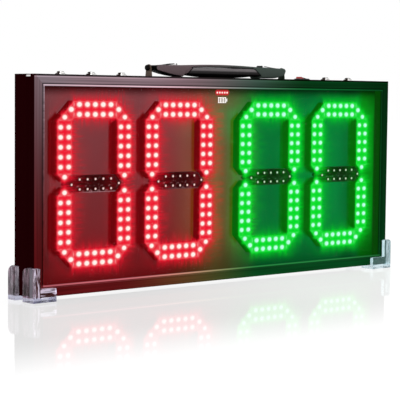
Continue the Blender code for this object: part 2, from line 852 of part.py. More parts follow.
def add_handle_pin(name, side):
    """The headed pin that holds a tip of the handle in its ear."""
    inner = 0.109
    head_start, head_end = PIN_HEAD
    profile = [
        (0, head_end),
        (PIN_HEAD_RADIUS - 0.0008, head_end),
        (PIN_HEAD_RADIUS, head_end - 0.0008),
        (PIN_HEAD_RADIUS, head_start),
        (PIN_RADIUS, head_start),
        (PIN_RADIUS, inner),
        (0, inner),
    ]
    place = (0, HANDLE_Y, TOP + PIN_HEIGHT)
    return add_turned(f"handle_pin_{name}", profile, place, 14, BLACK_PLASTIC, (0, side * pi / 2, 0))


def add_handle_brackets(top_member):
    """A steel ear at each end of the handle, which reaches through a slot to a foot inside the frame."""
    ear_in, ear_out = EAR
    middle = (ear_in + ear_out) / 2
    thick = ear_out - ear_in
    tang_front = -0.0038
    tang_back = 0.0057
    foot_top = -INNER_WALL - GAP
    foot_low = foot_top - 0.002
    round_top = arc((0, PIN_HEIGHT), 0.0045, 15, 165, 7)
    outline = [
        (-tang_front, foot_low + GAP),
        (-tang_front, 2 * GAP),
        (0.006, GAP),
        (0.006, 0.0024),
        *round_top,
        (-0.006, 0.0024),
        (-0.006, GAP),
        (-tang_back, 2 * GAP),
        (-tang_back, foot_low + GAP),
    ]
    for side, name in ((-1, "left"), (1, "right")):
        place = (side * middle, FRONT + EAR_DEPTH, TOP)
        ear = add_outline(f"handle_bracket_{name}", [outline], thick, place, FACING_SIDE, EAR_STEEL)
        foot_reach = sorted((side * 0.105, side * (ear_out - 0.0003)))
        foot = add_box(
            f"bracket_foot_{name}",
            (foot_reach[0], place[1] + tang_front + GAP, TOP + foot_low),
            (foot_reach[1], place[1] + tang_back - GAP, TOP + foot_top),
            None,
        )
        join(ear, foot)
        centre = (side * middle, HANDLE_Y, TOP + PIN_HEIGHT)
        cut(
            ear,
            add_cylinder(f"ear_hole_{name}", centre, EAR_HOLE_RADIUS, 0.01, "X", 14, None, CUTTERS),
        )
        slot = add_box(
            f"ear_slot_{name}",
            (side * middle - thick / 2 - GAP, place[1] + tang_front - GAP, TOP - 0.012),
            (side * middle + thick / 2 + GAP, place[1] + tang_back + GAP, TOP + 0.01),
            None,
            CUTTERS,
        )
        cut(top_member, slot)


def add_corner_guard(column, side, row, facing):
    """A clear cup round one bottom corner: a floor, a side wall, and a face wall with a low leg."""
    outer = RIGHT + GUARD_THICKNESS
    wall_in = RIGHT + GAP
    lap = RIGHT - GUARD_LAP[column]
    leg_end = RIGHT - GUARD_LEG[column]
    face_out = FRAME_DEPTH / 2 + GUARD_THICKNESS
    face_in = FRAME_DEPTH / 2 + GAP
    wall_face = face_out - 0.001
    reach = FRAME_DEPTH / 2 - GUARD_DEPTH[row]
    high = BASE + GUARD_HEIGHT
    low_high = BASE + GUARD_LEG_HEIGHT
    floor_top = BASE - GAP
    corner = GUARD_CORNER[row]
    end_corner = GUARD_END_CORNER[row]
    small = 0.002
    face = [
        (leg_end, 0),
        (outer, 0),
        *arc((outer - corner, high - corner), corner, 0, 90, 5),
        *arc((lap + small, high - small), small, 90, 180, 3),
        (lap, low_high),
        *arc((leg_end + small, low_high - small), small, 90, 180, 3),
    ]
    name = f"corner_guard_{row}_{column}"
    place = (0, facing * (face_in + face_out) / 2, 0)
    guard = add_outline(
        name, [mirrored(face, side)], face_out - face_in, place, FACING_FRONT, CLEAR_PLASTIC
    )
    wall = [
        (reach, 0),
        (wall_face, 0),
        *arc((wall_face - corner, high - corner), corner, 0, 90, 5),
        *arc((reach + end_corner, high - end_corner), end_corner, 90, 180, 5),
    ]
    wall_piece = add_outline(
        name + "_wall",
        [mirrored(wall, -facing)],
        outer - wall_in,
        (side * (outer + wall_in) / 2, 0, 0),
        FACING_SIDE,
        None,
    )
    join(guard, wall_piece)
    xs = sorted((side * leg_end, side * (outer - 0.001)))
    ys = sorted((facing * reach, facing * wall_face))
    floor = add_box(name + "_floor", (xs[0], ys[0], 0), (xs[1], ys[1], floor_top), None)
    join(guard, floor)


def add_corner_guards():
    for column, side in (("left", -1), ("right", 1)):
        for row, facing in (("front", -1), ("back", 1)):
            add_corner_guard(column, side, row, facing)


def add_cover_screws(frame, cover):
    """Eight pan-head screws through the rear cover into the flange of the frame."""
    inset = 0.010
    shank = 0.0014
    head = 0.0028
    places = [
        ("top", -0.27, TOP - inset),
        ("top", 0.0, TOP - inset),
        ("top", 0.27, TOP - inset),
        ("bottom", -0.25, BASE + inset),
        ("bottom", 0.0, BASE + inset),
        ("bottom", 0.25, BASE + inset),
        ("left", LEFT + inset, MIDDLE),
        ("right", RIGHT - inset, MIDDLE),
    ]
    profile = [
        (0, 0.0017),
        (head * 0.7, 0.0015),
        (head, 0.0009),
        (head, GAP),
        (shank, GAP),
        (shank, -0.0055),
        (0, -0.0055),
    ]
    flange = ("flange", FLANGE_BACK - 0.001, 0.003)
    sheet = ("cover", FRAME_DEPTH - COVER_THICKNESS / 2, 0.0022)
    for number, (member, x, z) in enumerate(places, start=1):
        place = (x, FRONT + FRAME_DEPTH, z)
        add_turned(f"cover_screw_{number}", profile, place, 10, STEEL, (-pi / 2, 0, 0))
        for item, (layer, depth, length) in ((frame[member], flange), (cover, sheet)):
            name = f"screw_hole_{layer}_{number}"
            centre = (x, FRONT + depth, z)
            cut(item, add_cylinder(name, centre, shank + GAP, length, "Y", 10, None, CUTTERS))


def smooth_round_pieces():
    """Shades gently turned faces as one surface, and leaves real edges sharp."""
    for item in PART.objects:
        if item.type == "MESH" and item.data.polygons:
            item.data.shade_smooth()
            item.data.set_sharp_from_angle(angle=radians(32.0))


frame_members = add_frame()
rear_cover = add_sheets()
add_groove_strip()
add_corner_brackets()
add_digits()
add_battery_indicator()
add_battery_pack()
add_controller_board()
add_charge_socket(frame_members["right"])
add_power_lead()
add_buttons(frame_members["top"])
add_switch(frame_members["top"])
add_handle_brackets(frame_members["top"])
add_handle()
add_corner_guards()
add_cover_screws(frame_members, rear_cover)
smooth_round_pieces()
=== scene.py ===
"""The looks of an LED substitution board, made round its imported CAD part.

Metres, +Z up. The board stands on Z = 0 and faces -Y. Colours are linear red, green and blue. A mask
runs from 0 to 1: x.rise(a, b) is 0 on the side of a and 1 on the side of b, and a and b are places.
"""

from math import cos, pi, radians, sin

import bmesh
import bpy
import numpy as np
from mathutils import Matrix, Vector


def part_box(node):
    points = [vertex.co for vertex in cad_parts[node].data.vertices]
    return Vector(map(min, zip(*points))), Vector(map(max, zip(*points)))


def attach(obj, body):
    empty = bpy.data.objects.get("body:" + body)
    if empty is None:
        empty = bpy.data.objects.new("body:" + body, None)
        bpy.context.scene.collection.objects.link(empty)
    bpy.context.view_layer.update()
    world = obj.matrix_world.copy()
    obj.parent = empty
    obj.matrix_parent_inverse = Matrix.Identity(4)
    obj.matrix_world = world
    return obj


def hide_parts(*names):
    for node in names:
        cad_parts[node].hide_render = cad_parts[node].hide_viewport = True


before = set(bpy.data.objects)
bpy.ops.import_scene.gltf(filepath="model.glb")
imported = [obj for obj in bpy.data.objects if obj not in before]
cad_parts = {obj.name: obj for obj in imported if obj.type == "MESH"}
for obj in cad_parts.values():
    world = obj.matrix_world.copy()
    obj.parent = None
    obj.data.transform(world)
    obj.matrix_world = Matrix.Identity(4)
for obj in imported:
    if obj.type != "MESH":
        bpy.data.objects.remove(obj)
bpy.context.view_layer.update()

# The frame is four lengths of one aluminium extrusion, cut at 45 degrees and pushed together.
# It is brushed along its length and anodised nearly black, and a rounded bead runs round the
# inner edge of its front lip. The light of the digits on the lip is painted on as glow: red, then
# green, with painted daylight. Red painted light tints its left side, and green its right inner wall.

LEFT, FRONT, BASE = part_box("frame_left")[0]
RIGHT, BACK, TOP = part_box("frame_right")[1]
MIDDLE = (BASE + TOP) / 2
HEIGHT = TOP - BASE

BEAD_CENTRE = 0.0131
BEAD_HALF = 0.0018
BEAD_HEIGHT = 0.0006
BEAD_FOOT = -0.0003
WELD = 0.000002
SHARP_TURN = radians(38.0)

BRUSHED = {
    "X": {"lines": (6.0, 700.0, 700.0), "streaks": (5.0, 1.0, 420.0), "daylight": 1.1},
    "Z": {"lines": (700.0, 700.0, 6.0), "streaks": (420.0, 1.0, 5.0), "daylight": 0.8},
}
ANODISED = (0.020, 0.017, 0.017)
ANODISED_LIGHT = (0.0320, 0.0272, 0.0272)
ANODISED_IN_SHADE = (0.003, 0.001, 0.001)
RED_LIGHT_ON_LIP = (0.090, 0.005, 0.006)
GREEN_LIGHT_ON_LIP = (0.001, 0.048, 0.010)
DAYLIGHT_ON_LIP = (0.130, 0.150, 0.172)
RED_GLEAM = (0.44, 0.125, 0.150)
GREEN_GLEAM = (0.016, 0.130, 0.032)
RED_LIGHT_ON_SIDE = (0.010, 0.0003, 0.0008)
GREEN_LIGHT_ON_WALL = (0.001, 0.062, 0.001)


class Value:
    """A shader socket that can stand in an expression, where each operator adds one Math node."""

    def __init__(self, nodes, socket):
        self.nodes = nodes
        self.socket = socket

    def math(self, operation, *values):
        return self.nodes.node("ShaderNodeMath", {"operation": operation}, dict(enumerate(values)))

    def __add__(self, other):
        return self.math("ADD", self, other)

    def __sub__(self, other):
        return self.math("SUBTRACT", self, other)

    def __mul__(self, other):
        return self.math("MULTIPLY", self, other)

    def __truediv__(self, other):
        return self.math("DIVIDE", self, other)

    def __pow__(self, other):
        return self.math("POWER", self, other)

    def __rsub__(self, other):
        return self.math("SUBTRACT", other, self)

    def __abs__(self):
        return self.math("ABSOLUTE", self)

    __radd__ = __add__
    __rmul__ = __mul__

    def at_least(self, other):
        return self.math("MAXIMUM", self, other)

    def at_most(self, other):
        return self.math("MINIMUM", self, other)

    def fraction(self):
        return self.math("FRACT", self)

    def exponential(self):
        return self.math("EXPONENT", self)

    def rise(self, start, end):
        """0 on the side of start, 1 on the side of end, and an S-curve between them."""
        settings = {"interpolation_type": "SMOOTHSTEP"}
        return self.nodes.node("ShaderNodeMapRange", settings, {0: self, 1: start, 2: end})

    def band(self, start, full, still_full, end):
        """1 between the two middle places, and 0 outside the first and the last."""
        return self.rise(start, full) * self.rise(end, still_full)


class Nodes:
    """The nodes of a material or of the world's light, with the place of a spot as x, y and z."""

    def __init__(self, tree, place):
        self.tree = tree
        self.coordinates = self.node("ShaderNodeTexCoord", {}, {}, place)
        self.x, self.y, self.z = (
            self.node("ShaderNodeSeparateXYZ", {}, {0: self.coordinates}, axis) for axis in "XYZ"
        )

    def feed(self, socket, value):
        if isinstance(value, Value):
            self.tree.links.new(value.socket, socket)
        elif socket.type == "RGBA":
            socket.default_value = (*value, 1.0)
        else:
            socket.default_value = value

    def node(self, kind, settings, values, output=0):
        """Any node: its settings are set first, then the numbers or links of its sockets."""
        made = self.tree.nodes.new(kind)
        for name, value in settings.items():
            setattr(made, name, value)
        for name, value in values.items():
            self.feed(made.inputs[name], value)
        return Value(self, made.outputs[output])


class Finish(Nodes):
    """A material with one Principled shader, whose sockets take numbers, colours or expressions."""

    def __init__(self, name, sockets):
        self.material = bpy.data.materials.new(name)
        self.material.use_nodes = True
        super().__init__(self.material.node_tree, "Object")
        self.shader = self.tree.nodes["Principled BSDF"]
        self.set(sockets)

    def set(self, sockets):
        for name, value in sockets.items():
            self.feed(self.shader.inputs[name], value)

    def mix(self, amount, low, high):
        """The colour low where amount is 0, and high where it is 1."""
        return self.node("ShaderNodeMix", {"data_type": "RGBA"}, {0: amount, 6: low, 7: high}, 2)

    def sum(self, *colours):
        """Colours added together like lamps."""
        settings = {"data_type": "RGBA", "blend_type": "ADD"}
        total = colours[0]
        for colour in colours[1:]:
            total = self.node("ShaderNodeMix", settings, {0: 1.0, 6: total, 7: colour}, 2)
        return total

    def light(self, amount, colour):
        """The colour times an amount, which may be more than 1."""
        settings = {"data_type": "RGBA", "clamp_factor": False}
        return self.node("ShaderNodeMix", settings, {0: amount, 6: (0, 0, 0), 7: colour}, 2)

    def grain(self, per_metre, detail=2.0):
        """Noise from 0 to 1 with so many grains per metre, along each axis or along all three."""
        stretch = per_metre if isinstance(per_metre, tuple) else (per_metre,) * 3
        place = self.node(
            "ShaderNodeVectorMath", {"operation": "MULTIPLY"}, {0: self.coordinates, 1: stretch}
        )
        return self.node("ShaderNodeTexNoise", {}, {"Vector": place, "Scale": 1.0, "Detail": detail})

    def attribute(self, label):
        """The number of that name that the mesh carries at each of its points."""
        return self.node("ShaderNodeAttribute", {"attribute_name": label}, {}, "Fac")

    def bump(self, height, distance):
        self.set({"Normal": self.node("ShaderNodeBump", {}, {"Height": height, "Distance": distance})})

    def glow(self, colour, strength=1.0):
        """Light of its own."""
        self.set({"Emission Color": colour, "Emission Strength": strength})

    def glows_without_lighting(self):
        """Its light is seen, but isn't sampled as a lamp, which would only add noise."""
        self.material.cycles.emission_sampling = "NONE"


def digit_light(finish):
    """How far red, green and daylight reach a spot: by X and height, and daylight by height cubed."""
    x, z = finish.x, finish.z
    height = ((z - BASE) / HEIGHT).at_least(0.0)
    red = x.rise(0.06, -0.11) * (1.1 - x.rise(-0.24, -0.31) * 0.3)
    green = (x - height * 0.10).rise(-0.21, 0.01) * (1.15 - height * 0.45)
    green = green * (1 - x.rise(0.24, 0.33) * 0.4)
    daylight = x.rise(0.16, -0.18) * height ** 3.0
    return red, green, daylight


def bead_gleam(finish):
    """Painted shade and highlight of the bead by the place on its round, from outside in, and its gleam."""
    turned_in = finish.attribute("turned_in")
    high = finish.z.rise(TOP - BEAD_CENTRE - 0.003, TOP - BEAD_CENTRE - 0.001)
    low = finish.z.rise(BASE + BEAD_CENTRE + 0.003, BASE + BEAD_CENTRE + 0.001)
    upright = 1 - high - low
    light = turned_in.rise(0.42, 0.54) * 2.6 - turned_in.rise(0.68, 0.86) * 2.2
    top_shade = high * (light - turned_in.rise(0.42, 0.3) * 0.85)
    side_shade = upright * (turned_in.rise(0.50, 0.62) * 0.8 - turned_in.rise(0.48, 0.36) * 0.7)
    added = low * (turned_in.rise(0.40, 0.52) + turned_in.rise(0.22, 0.10) * 0.6)
    return top_shade + side_shade + 1, added


def painted_edge_lines(finish):
    """Painted highlight and shade on the lip: a lighter line near its top edge, and a dark one above it."""
    light = finish.z.rise(TOP - 0.0042, TOP - 0.0034) * 0.8
    dark = finish.z.rise(TOP - 0.0026, TOP - 0.0018) * 1.7
    return (light - dark + 1).at_least(0.0)


def anodised(name, brushed_along, is_bead=False):
    """Dark brushed metal: long grains along one axis change its shade, gloss and height a little."""
    finish = Finish(name, {"Metallic": 1.0, "Specular Tint": (0.1, 0.1, 0.1)})
    x, y = finish.x, finish.y
    brushed = BRUSHED[brushed_along]
    lines = finish.grain(brushed["lines"], 3.0)
    finish.bump(lines, 0.00002)
    red, green, daylight = digit_light(finish)
    daylight = daylight * brushed["daylight"]
    shade = (finish.grain(brushed["streaks"]) - 0.5) * 1.5 + 1
    gleams = []
    if is_bead:
        bead_shade, added = bead_gleam(finish)
        shade = shade * bead_shade
        gleams = [finish.light(red * added, RED_GLEAM), finish.light(green * added, GREEN_GLEAM)]
    else:
        shade = shade * painted_edge_lines(finish)
    # Painted light as glow on the front face, the left side and the right inner wall. The base colour there
    # is darker, as in shade.
    face = y.rise(FRONT + 0.0012, FRONT + 0.0002)
    lit_face = face * shade
    left_wall = x.rise(LEFT + 0.0039, LEFT + 0.0037)
    right_wall = y.band(FRONT + 0.004, FRONT + 0.008, FRONT + 0.02, FRONT + 0.0225)
    right_wall = right_wall * x.rise(RIGHT - 0.0045, RIGHT - 0.006) * x.rise(0.1, 0.3)
    metal = finish.mix(lines, ANODISED, ANODISED_LIGHT)
    finish.set({
        "Base Color": finish.mix(face.at_least(left_wall), metal, ANODISED_IN_SHADE),
        "Roughness": lines * 0.2 + 0.3,
    })
    finish.glow(finish.sum(
        finish.light(red * lit_face, RED_LIGHT_ON_LIP),
        finish.light(green * lit_face, GREEN_LIGHT_ON_LIP),
        finish.light(daylight * lit_face, DAYLIGHT_ON_LIP),
        finish.light(right_wall, GREEN_LIGHT_ON_WALL),
        finish.light(left_wall, RED_LIGHT_ON_SIDE),
        *gleams,
    ))
    return finish


def dress(finish, *names):
    """Gives CAD nodes a finish, each through its own material slot."""
    for name in names:
        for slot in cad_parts[name].material_slots:
            slot.link = "OBJECT"
            slot.material = finish.material


def surface(name, points, wrap_rows=False, wrap_columns=True, caps=True, attributes=None):
    """A mesh of quads over one grid of points, or over several grids of the same shape.

    A grid is shaped (rows, columns, 3): its columns go round the piece and its rows along it.
    Caps close the first and the last row with a flat face. Points that meet are welded.
    """
    grids = points.reshape(-1, *points.shape[-3:])
    copies, rows, columns = grids.shape[:3]
    index = np.arange(copies * rows * columns).reshape(copies, rows, columns)
    beside = np.roll(index, -1, axis=2)
    below = np.roll(index, -1, axis=1)
    across = np.roll(beside, -1, axis=1)
    kept = np.s_[:, : rows - (not wrap_rows), : columns - (not wrap_columns)]
    quads = np.stack([index[kept], beside[kept], across[kept], below[kept]], axis=-1)
    faces = quads.reshape(-1, 4).tolist()
    if caps:
        faces += index[:, 0].tolist() + index[:, -1, ::-1].tolist()
    mesh = bpy.data.meshes.new(name)
    mesh.from_pydata(grids.reshape(-1, 3), [], faces)
    for label, values in (attributes or {}).items():
        layer = mesh.attributes.new(label, "FLOAT", "POINT")
        layer.data.foreach_set("value", np.broadcast_to(values, grids.shape[:3]).ravel())
    shape = bmesh.new()
    shape.from_mesh(mesh)
    bmesh.ops.remove_doubles(shape, verts=shape.verts, dist=WELD)
    bmesh.ops.recalc_face_normals(shape, faces=shape.faces)
    shape.to_mesh(mesh)
    shape.free()
    mesh.shade_smooth()
    mesh.set_sharp_from_angle(angle=SHARP_TURN)
    return mesh


def show(mesh, finish, body, replaced=()):
    """Puts a mesh in the scene as a piece that rides on a body and stands for some CAD nodes."""
    piece = bpy.data.objects.new(mesh.name, mesh)
    bpy.context.scene.collection.objects.link(piece)
    mesh.materials.append(finish.material)
    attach(piece, body)
    if replaced:
        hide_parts(*replaced)
    return piece


def ring_round_front(profile):
    """A profile of (inset, rise) carried round the four corners of the frame's front, mitred."""
    inset, rise = np.asarray(profile).T
    across = np.array([-1, 1, 1, -1])[:, None]
    up = np.array([-1, -1, 1, 1])[:, None]
    x = across * (RIGHT - inset)
    z = MIDDLE + up * (HEIGHT / 2 - inset)
    return np.stack([x, np.broadcast_to(FRONT - rise, x.shape), z], axis=-1)


dress(anodised("anodised_brushed_along_x", "X"), "frame_top", "frame_bottom")
dress(anodised("anodised_brushed_along_z", "Z"), "frame_left", "frame_right")

turn = np.linspace(0, pi, 13)
bead = np.stack([BEAD_CENTRE - BEAD_HALF * np.cos(turn), BEAD_HEIGHT * np.sin(turn)], axis=-1)
bead = np.vstack([bead, [[BEAD_CENTRE + BEAD_HALF, BEAD_FOOT], [BEAD_CENTRE - BEAD_HALF, BEAD_FOOT]]])
turned_in = np.concatenate([turn / pi, [1, 0]])
bead_ring = surface(
    "lip_bead", ring_round_front(bead), wrap_rows=True, caps=False, attributes={"turned_in": turned_in}
)
show(bead_ring, anodised("anodised_bead", "X", is_bead=True), "board")

# A flat bar of bare aluminium lies in the groove of the top face. Its sawn end shows at the left
# corner as a bright spot between the black flanges.

bare = Finish("sawn_bare_aluminium", {"Metallic": 1.0, "Base Color": (0.78, 0.76, 0.76)})
bare.set({"Roughness": bare.grain((60.0, 60.0, 700.0)) * 0.3 + 0.25})
dress(bare, "top_groove_strip")

# Four cast angle blocks sit in the rear corners behind the plate and keep the frame square.
# They are raw aluminium, dull and a little blotchy.

cast = Finish("raw_cast_aluminium", {"Metallic": 1.0})
blotches = cast.grain(160.0, 4.0)
cast.set({
    "Base Color": cast.mix(blotches, (0.42, 0.42, 0.41), (0.62, 0.61, 0.60)),
    "Roughness": blotches * 0.25 + 0.35,
})
cast.bump(blotches, 0.0001)
dress(cast, *(f"corner_bracket_{row}_{side}" for row in ("bottom", "top") for side in ("left", "right")))

# The plate behind the digits is sheet metal, painted black. What shows of it is the light of the
# digits, painted on it as glow: red on the left, olive in the middle and green on the right. A
# painted shadow keeps a strip beside the left wall of each upright block of a digit darker.

DIGITS = {"digit_1": -0.229, "digit_2": -0.0853, "digit_3": 0.0853, "digit_4": 0.229}
BLOCK_HALF = 0.0447
BLOCK_SLOPE = 0.01125
SIDE = 0.0484
RISE = 0.0964
SHADOW_SHIFT = 0.005
ROOT_HALF = 0.7071

PLATE_PAINT = (0.0006, 0.0005, 0.0005)
RED_LIGHT_ON_PLATE = (0.190, 0.006, 0.008)
GREEN_LIGHT_ON_PLATE = (0.001, 0.175, 0.034)
RED_IN_SHADE = (0.190, 0.0008, 0.0012)
GREEN_IN_SHADE = (0.0006, 0.175, 0.004)
DAYLIGHT_ON_PLATE = (0.026, 0.054, 0.060)


def to_digit(x):
    """How far X lies from the middle of the nearest digit."""
    near_centre = (DIGITS["digit_3"] + DIGITS["digit_4"]) / 2
    half_gap = (DIGITS["digit_4"] - DIGITS["digit_3"]) / 2
    return abs(abs(abs(x) - near_centre) - half_gap)


def block_distance(along, over):
    """How far a spot lies outside a block: the greater of its distances to long and slanting side."""
    slant = (along + over - BLOCK_HALF) * ROOT_HALF
    return (over - BLOCK_SLOPE).at_least(slant)


def plate_light(finish):
    """How much painted light of any colour the paint gets: less at the edges, under the lip and in shadow.
    """
    x, z = finish.x, finish.z
    cloud = finish.grain(14.0, 3.0) * 0.5 + 0.75
    speck = finish.grain(900.0, 1.0) * 0.16 + 0.92
    edge = x.band(-0.335, -0.27, 0.30, 0.345) * 0.4 + 0.6
    lip = z.rise(TOP - 0.014, TOP - 0.030)
    low = z.rise(BASE + 0.005, BASE + 0.085) * 0.55 + 0.45
    # Painted shadow: a strip beside the left wall of each upright block.
    beside = to_digit(x + SHADOW_SHIFT)
    up = abs(z - MIDDLE)
    lit = block_distance(abs(up - RISE / 2), abs(beside - SIDE)).rise(-0.002, 0.002)
    amount = cloud * speck * edge * low * (lip * 0.82 + 0.18) * (lit * 0.3 + 0.7)
    in_second = x.band(-0.140, -0.125, -0.07, -0.05) * z.rise(MIDDLE - 0.02, MIDDLE + 0.02)
    height = ((z - BASE) / HEIGHT * 1.05 - 0.05).at_least(0.0)
    daylight = x.rise(0.10, -0.12) * height * cloud * lip * lit
    return amount * (in_second * 0.2 + 1), daylight, lit


def lit_paint(name):
    """Black paint with the red light of digits 1 and 2, the green light of 3 and 4, and daylight,
    all painted on as glow.
    """
    finish = Finish(name, {"Base Color": PLATE_PAINT, "Roughness": 0.5, "Specular IOR Level": 0.0})
    x, z = finish.x, finish.z
    amount, daylight, lit = plate_light(finish)
    upper = z.band(TOP - 0.10, TOP - 0.065, TOP - 0.050, TOP - 0.035)
    below_digits = z.rise(BASE + 0.045, BASE + 0.025) * x.rise(-0.05, -0.11)
    red = x.rise(0.085, -0.04) * amount * (below_digits * 0.5 + 1)
    red = red * (1 - upper * x.rise(-0.025, 0.0) * 0.28)
    under_lip = z.rise(TOP - 0.050, TOP - 0.025)
    between = x.band(-0.006, 0.008, 0.020, 0.030) * z.rise(TOP - 0.07, TOP - 0.10)
    in_fourth = x.band(0.235, 0.262, 0.270, 0.290)
    green = x.rise(-0.11, 0.07) * (x.rise(0.10, 0.20) * 0.2 + 1) * amount
    green = green * (1 - under_lip * 0.28) * (1 - in_fourth * 0.3)
    green = green * (upper * x.rise(0.045, 0.02) * 0.22 - between * 0.22 + 1)
    bluish = lit * x.rise(0.295, 0.280)
    finish.glow(finish.sum(
        finish.light(red, finish.mix(lit, RED_IN_SHADE, RED_LIGHT_ON_PLATE)),
        finish.light(green, finish.mix(bluish, GREEN_IN_SHADE, GREEN_LIGHT_ON_PLATE)),
        finish.light(daylight, DAYLIGHT_ON_PLATE),
    ))
    return finish


plate_paint = lit_paint("black_paint_under_led_light")
dress(plate_paint, "backplate")

# Each digit is one unit: a thin board with seven raised blocks of black plastic, which have pointed
# ends, and in each block twelve clear LEDs in two rows, soldered to the board. The middle block is
# off, so the board shows two red and two green zeros.

PITCH = 0.0127
ROW = 0.0064
END_LED = 0.0382
LED_RADIUS = 0.0025
BLOCK_FACE = FRONT + 0.0068
BLOCK_BACK = FRONT + 0.0209
BLOCK_EDGE = 0.0004
WEB_FACE = FRONT + 0.0086
BOARD_HALF = (0.0595, 0.1075)
BOARD_FACE = FRONT + 0.0202
OVERLAP = 0.0001

# The colours of a digit. Glow, wall, dark, glint and glare are painted light: the glow of a lit block's
# face and walls, the dim glow of a block and its LEDs when off, and painted reflections on them.
LED_COLOURS = {
    "red": {
        "core": (1.2, 1.0, 0.92),
        "halo": (1.0, 0.34, 0.38),
        "glow": (0.96, 0.018, 0.052),
        "ray": (0.97, 0.008, 0.030),
        "wall": (0.190, 0.0003, 0.0015),
        "dark": (0.030, 0.0004, 0.0004),
        "glint": (1.0, 0.66, 0.62),
        "glare": (0.36, 0.17, 0.19),
        "slot": "red_led_block",
    },
    "green": {
        "core": (0.56, 1.15, 0.90),
        "halo": (0.006, 0.96, 0.13),
        "glow": (0.002, 0.82, 0.030),
        "ray": (0.001, 0.80, 0.022),
        "wall": (0.0003, 0.150, 0.0005),
        "dark": (0.0005, 0.022, 0.0005),
        "glint": (0.58, 0.90, 0.56),
        "glare": (0.10, 0.30, 0.14),
        "slot": "green_led_block",
    },
}
GLARE = {"digit_1": 1.0, "digit_2": 0.35, "digit_3": 0.12, "digit_4": 0.08}


def spread(shape, places):
    """Copies of a shape in X (along) and Z (across) for level and upright places: (x, z, upright)."""
    x, z, upright = (np.asarray(column)[:, None, None] for column in np.transpose(places))
    along, deep, over = np.moveaxis(shape, -1, 0)
    level = 1 - upright
    across = x + level * along + upright * over
    up = z + level * over + upright * along
    return np.stack([across, deep + 0 * x, up], axis=-1)


def segment_places():
    level = [(0, -RISE, 0), (0, RISE, 0)]
    upright = [(side * SIDE, up * RISE / 2, 1) for side in (-1, 1) for up in (-1, 1)]
    return level + upright


def led_places(segments):
    """The twelve LEDs of each segment: two rows of five, and one in each pointed end."""
    along = [(i * PITCH, row) for i in range(-2, 3) for row in (-ROW, ROW)]
    along += [(-END_LED, 0), (END_LED, 0)]
    return [
        (x + (v if upright else u), z + (u if upright else v), 0)
        for x, z, upright in segments
        for u, v in along
    ]


def layers(outlines, depths):
    """Outlines in (x, z), one behind the other: each stands at its own Y."""
    return np.stack([
        np.stack([outline[:, 0], np.full(len(outline), y), outline[:, 1]], axis=-1)
        for outline, y in zip(outlines, depths)
    ])


def box_grid(low, high):
    """The eight corners of a box between two corners, as two rings of four, one at the Y of each."""
    (x0, y0, z0), (x1, y1, z1) = low, high
    ring = np.array([[x0, z0], [x1, z0], [x1, z1], [x0, z1]])
    return layers([ring, ring], [y0, y1])


def block_shape():
    """A six-sided outline carried from the plate to the face, where it steps in over a small edge."""
    flat = BLOCK_HALF - BLOCK_SLOPE
    outline = np.array([
        (-BLOCK_HALF, 0), (-flat, -BLOCK_SLOPE), (flat, -BLOCK_SLOPE),
        (BLOCK_HALF, 0), (flat, BLOCK_SLOPE), (-flat, BLOCK_SLOPE),
    ])
    inner = outline - BLOCK_EDGE * np.sign(outline) * (1.4, 1.0)
    depths = [BLOCK_BACK, BLOCK_FACE + BLOCK_EDGE, BLOCK_FACE]
    return layers([outline, outline, inner], depths)


def corner_webs():
    """Four low webs that fill the slanting gaps between a level block and the uprights beside it."""
    tip, foot = BLOCK_HALF, BLOCK_HALF - BLOCK_SLOPE
    web = np.array([
        (tip, RISE),
        (foot, RISE - BLOCK_SLOPE),
        (SIDE - BLOCK_SLOPE, RISE / 2 + foot),
        (SIDE, RISE / 2 + tip),
    ])
    mirrored = [web * (across, up) for across in (-1, 1) for up in (-1, 1)]
    return np.stack([layers([one, one], [BLOCK_BACK, WEB_FACE]) for one in mirrored])


def circle(steps):
    """Angles all the way round, in one row."""
    return np.linspace(0, 2 * pi, steps, endpoint=False)[None, :]


def led_shape():
    """A half ball on the face of its block, and for each point a number: 1 at its foot, 0 at its tip."""
    rise = np.linspace(0, pi / 2, 5)[:, None]
    x = LED_RADIUS * np.cos(rise) * np.cos(circle(10))
    z = LED_RADIUS * np.cos(rise) * np.sin(circle(10))
    y = np.broadcast_to(BLOCK_FACE - LED_RADIUS * np.sin(rise), x.shape)
    return np.stack([x, y, z], axis=-1), np.broadcast_to(np.cos(rise), x.shape)


def block_finish(name, wall, face):
    """Black plastic that the LEDs light, painted on as glow: one shade on its walls, darker towards
    the back, another on its face.
    """
    finish = Finish(name, {"Base Color": (0.0004, 0.0004, 0.0004), "Roughness": 0.4})
    finish.set({"Specular IOR Level": 0.0})
    front = finish.y.rise(BLOCK_FACE + 0.0012, BLOCK_FACE)
    depth = finish.y.rise(BLOCK_BACK, BLOCK_FACE) * 0.4 + 0.6
    finish.glow(finish.mix(front, finish.light(depth, wall), face))
    return finish


def in_cell(along):
    """How far a spot lies along a block from the nearest pair of LEDs."""
    return ((along / PITCH + 0.5).fraction() - 0.5) * PITCH


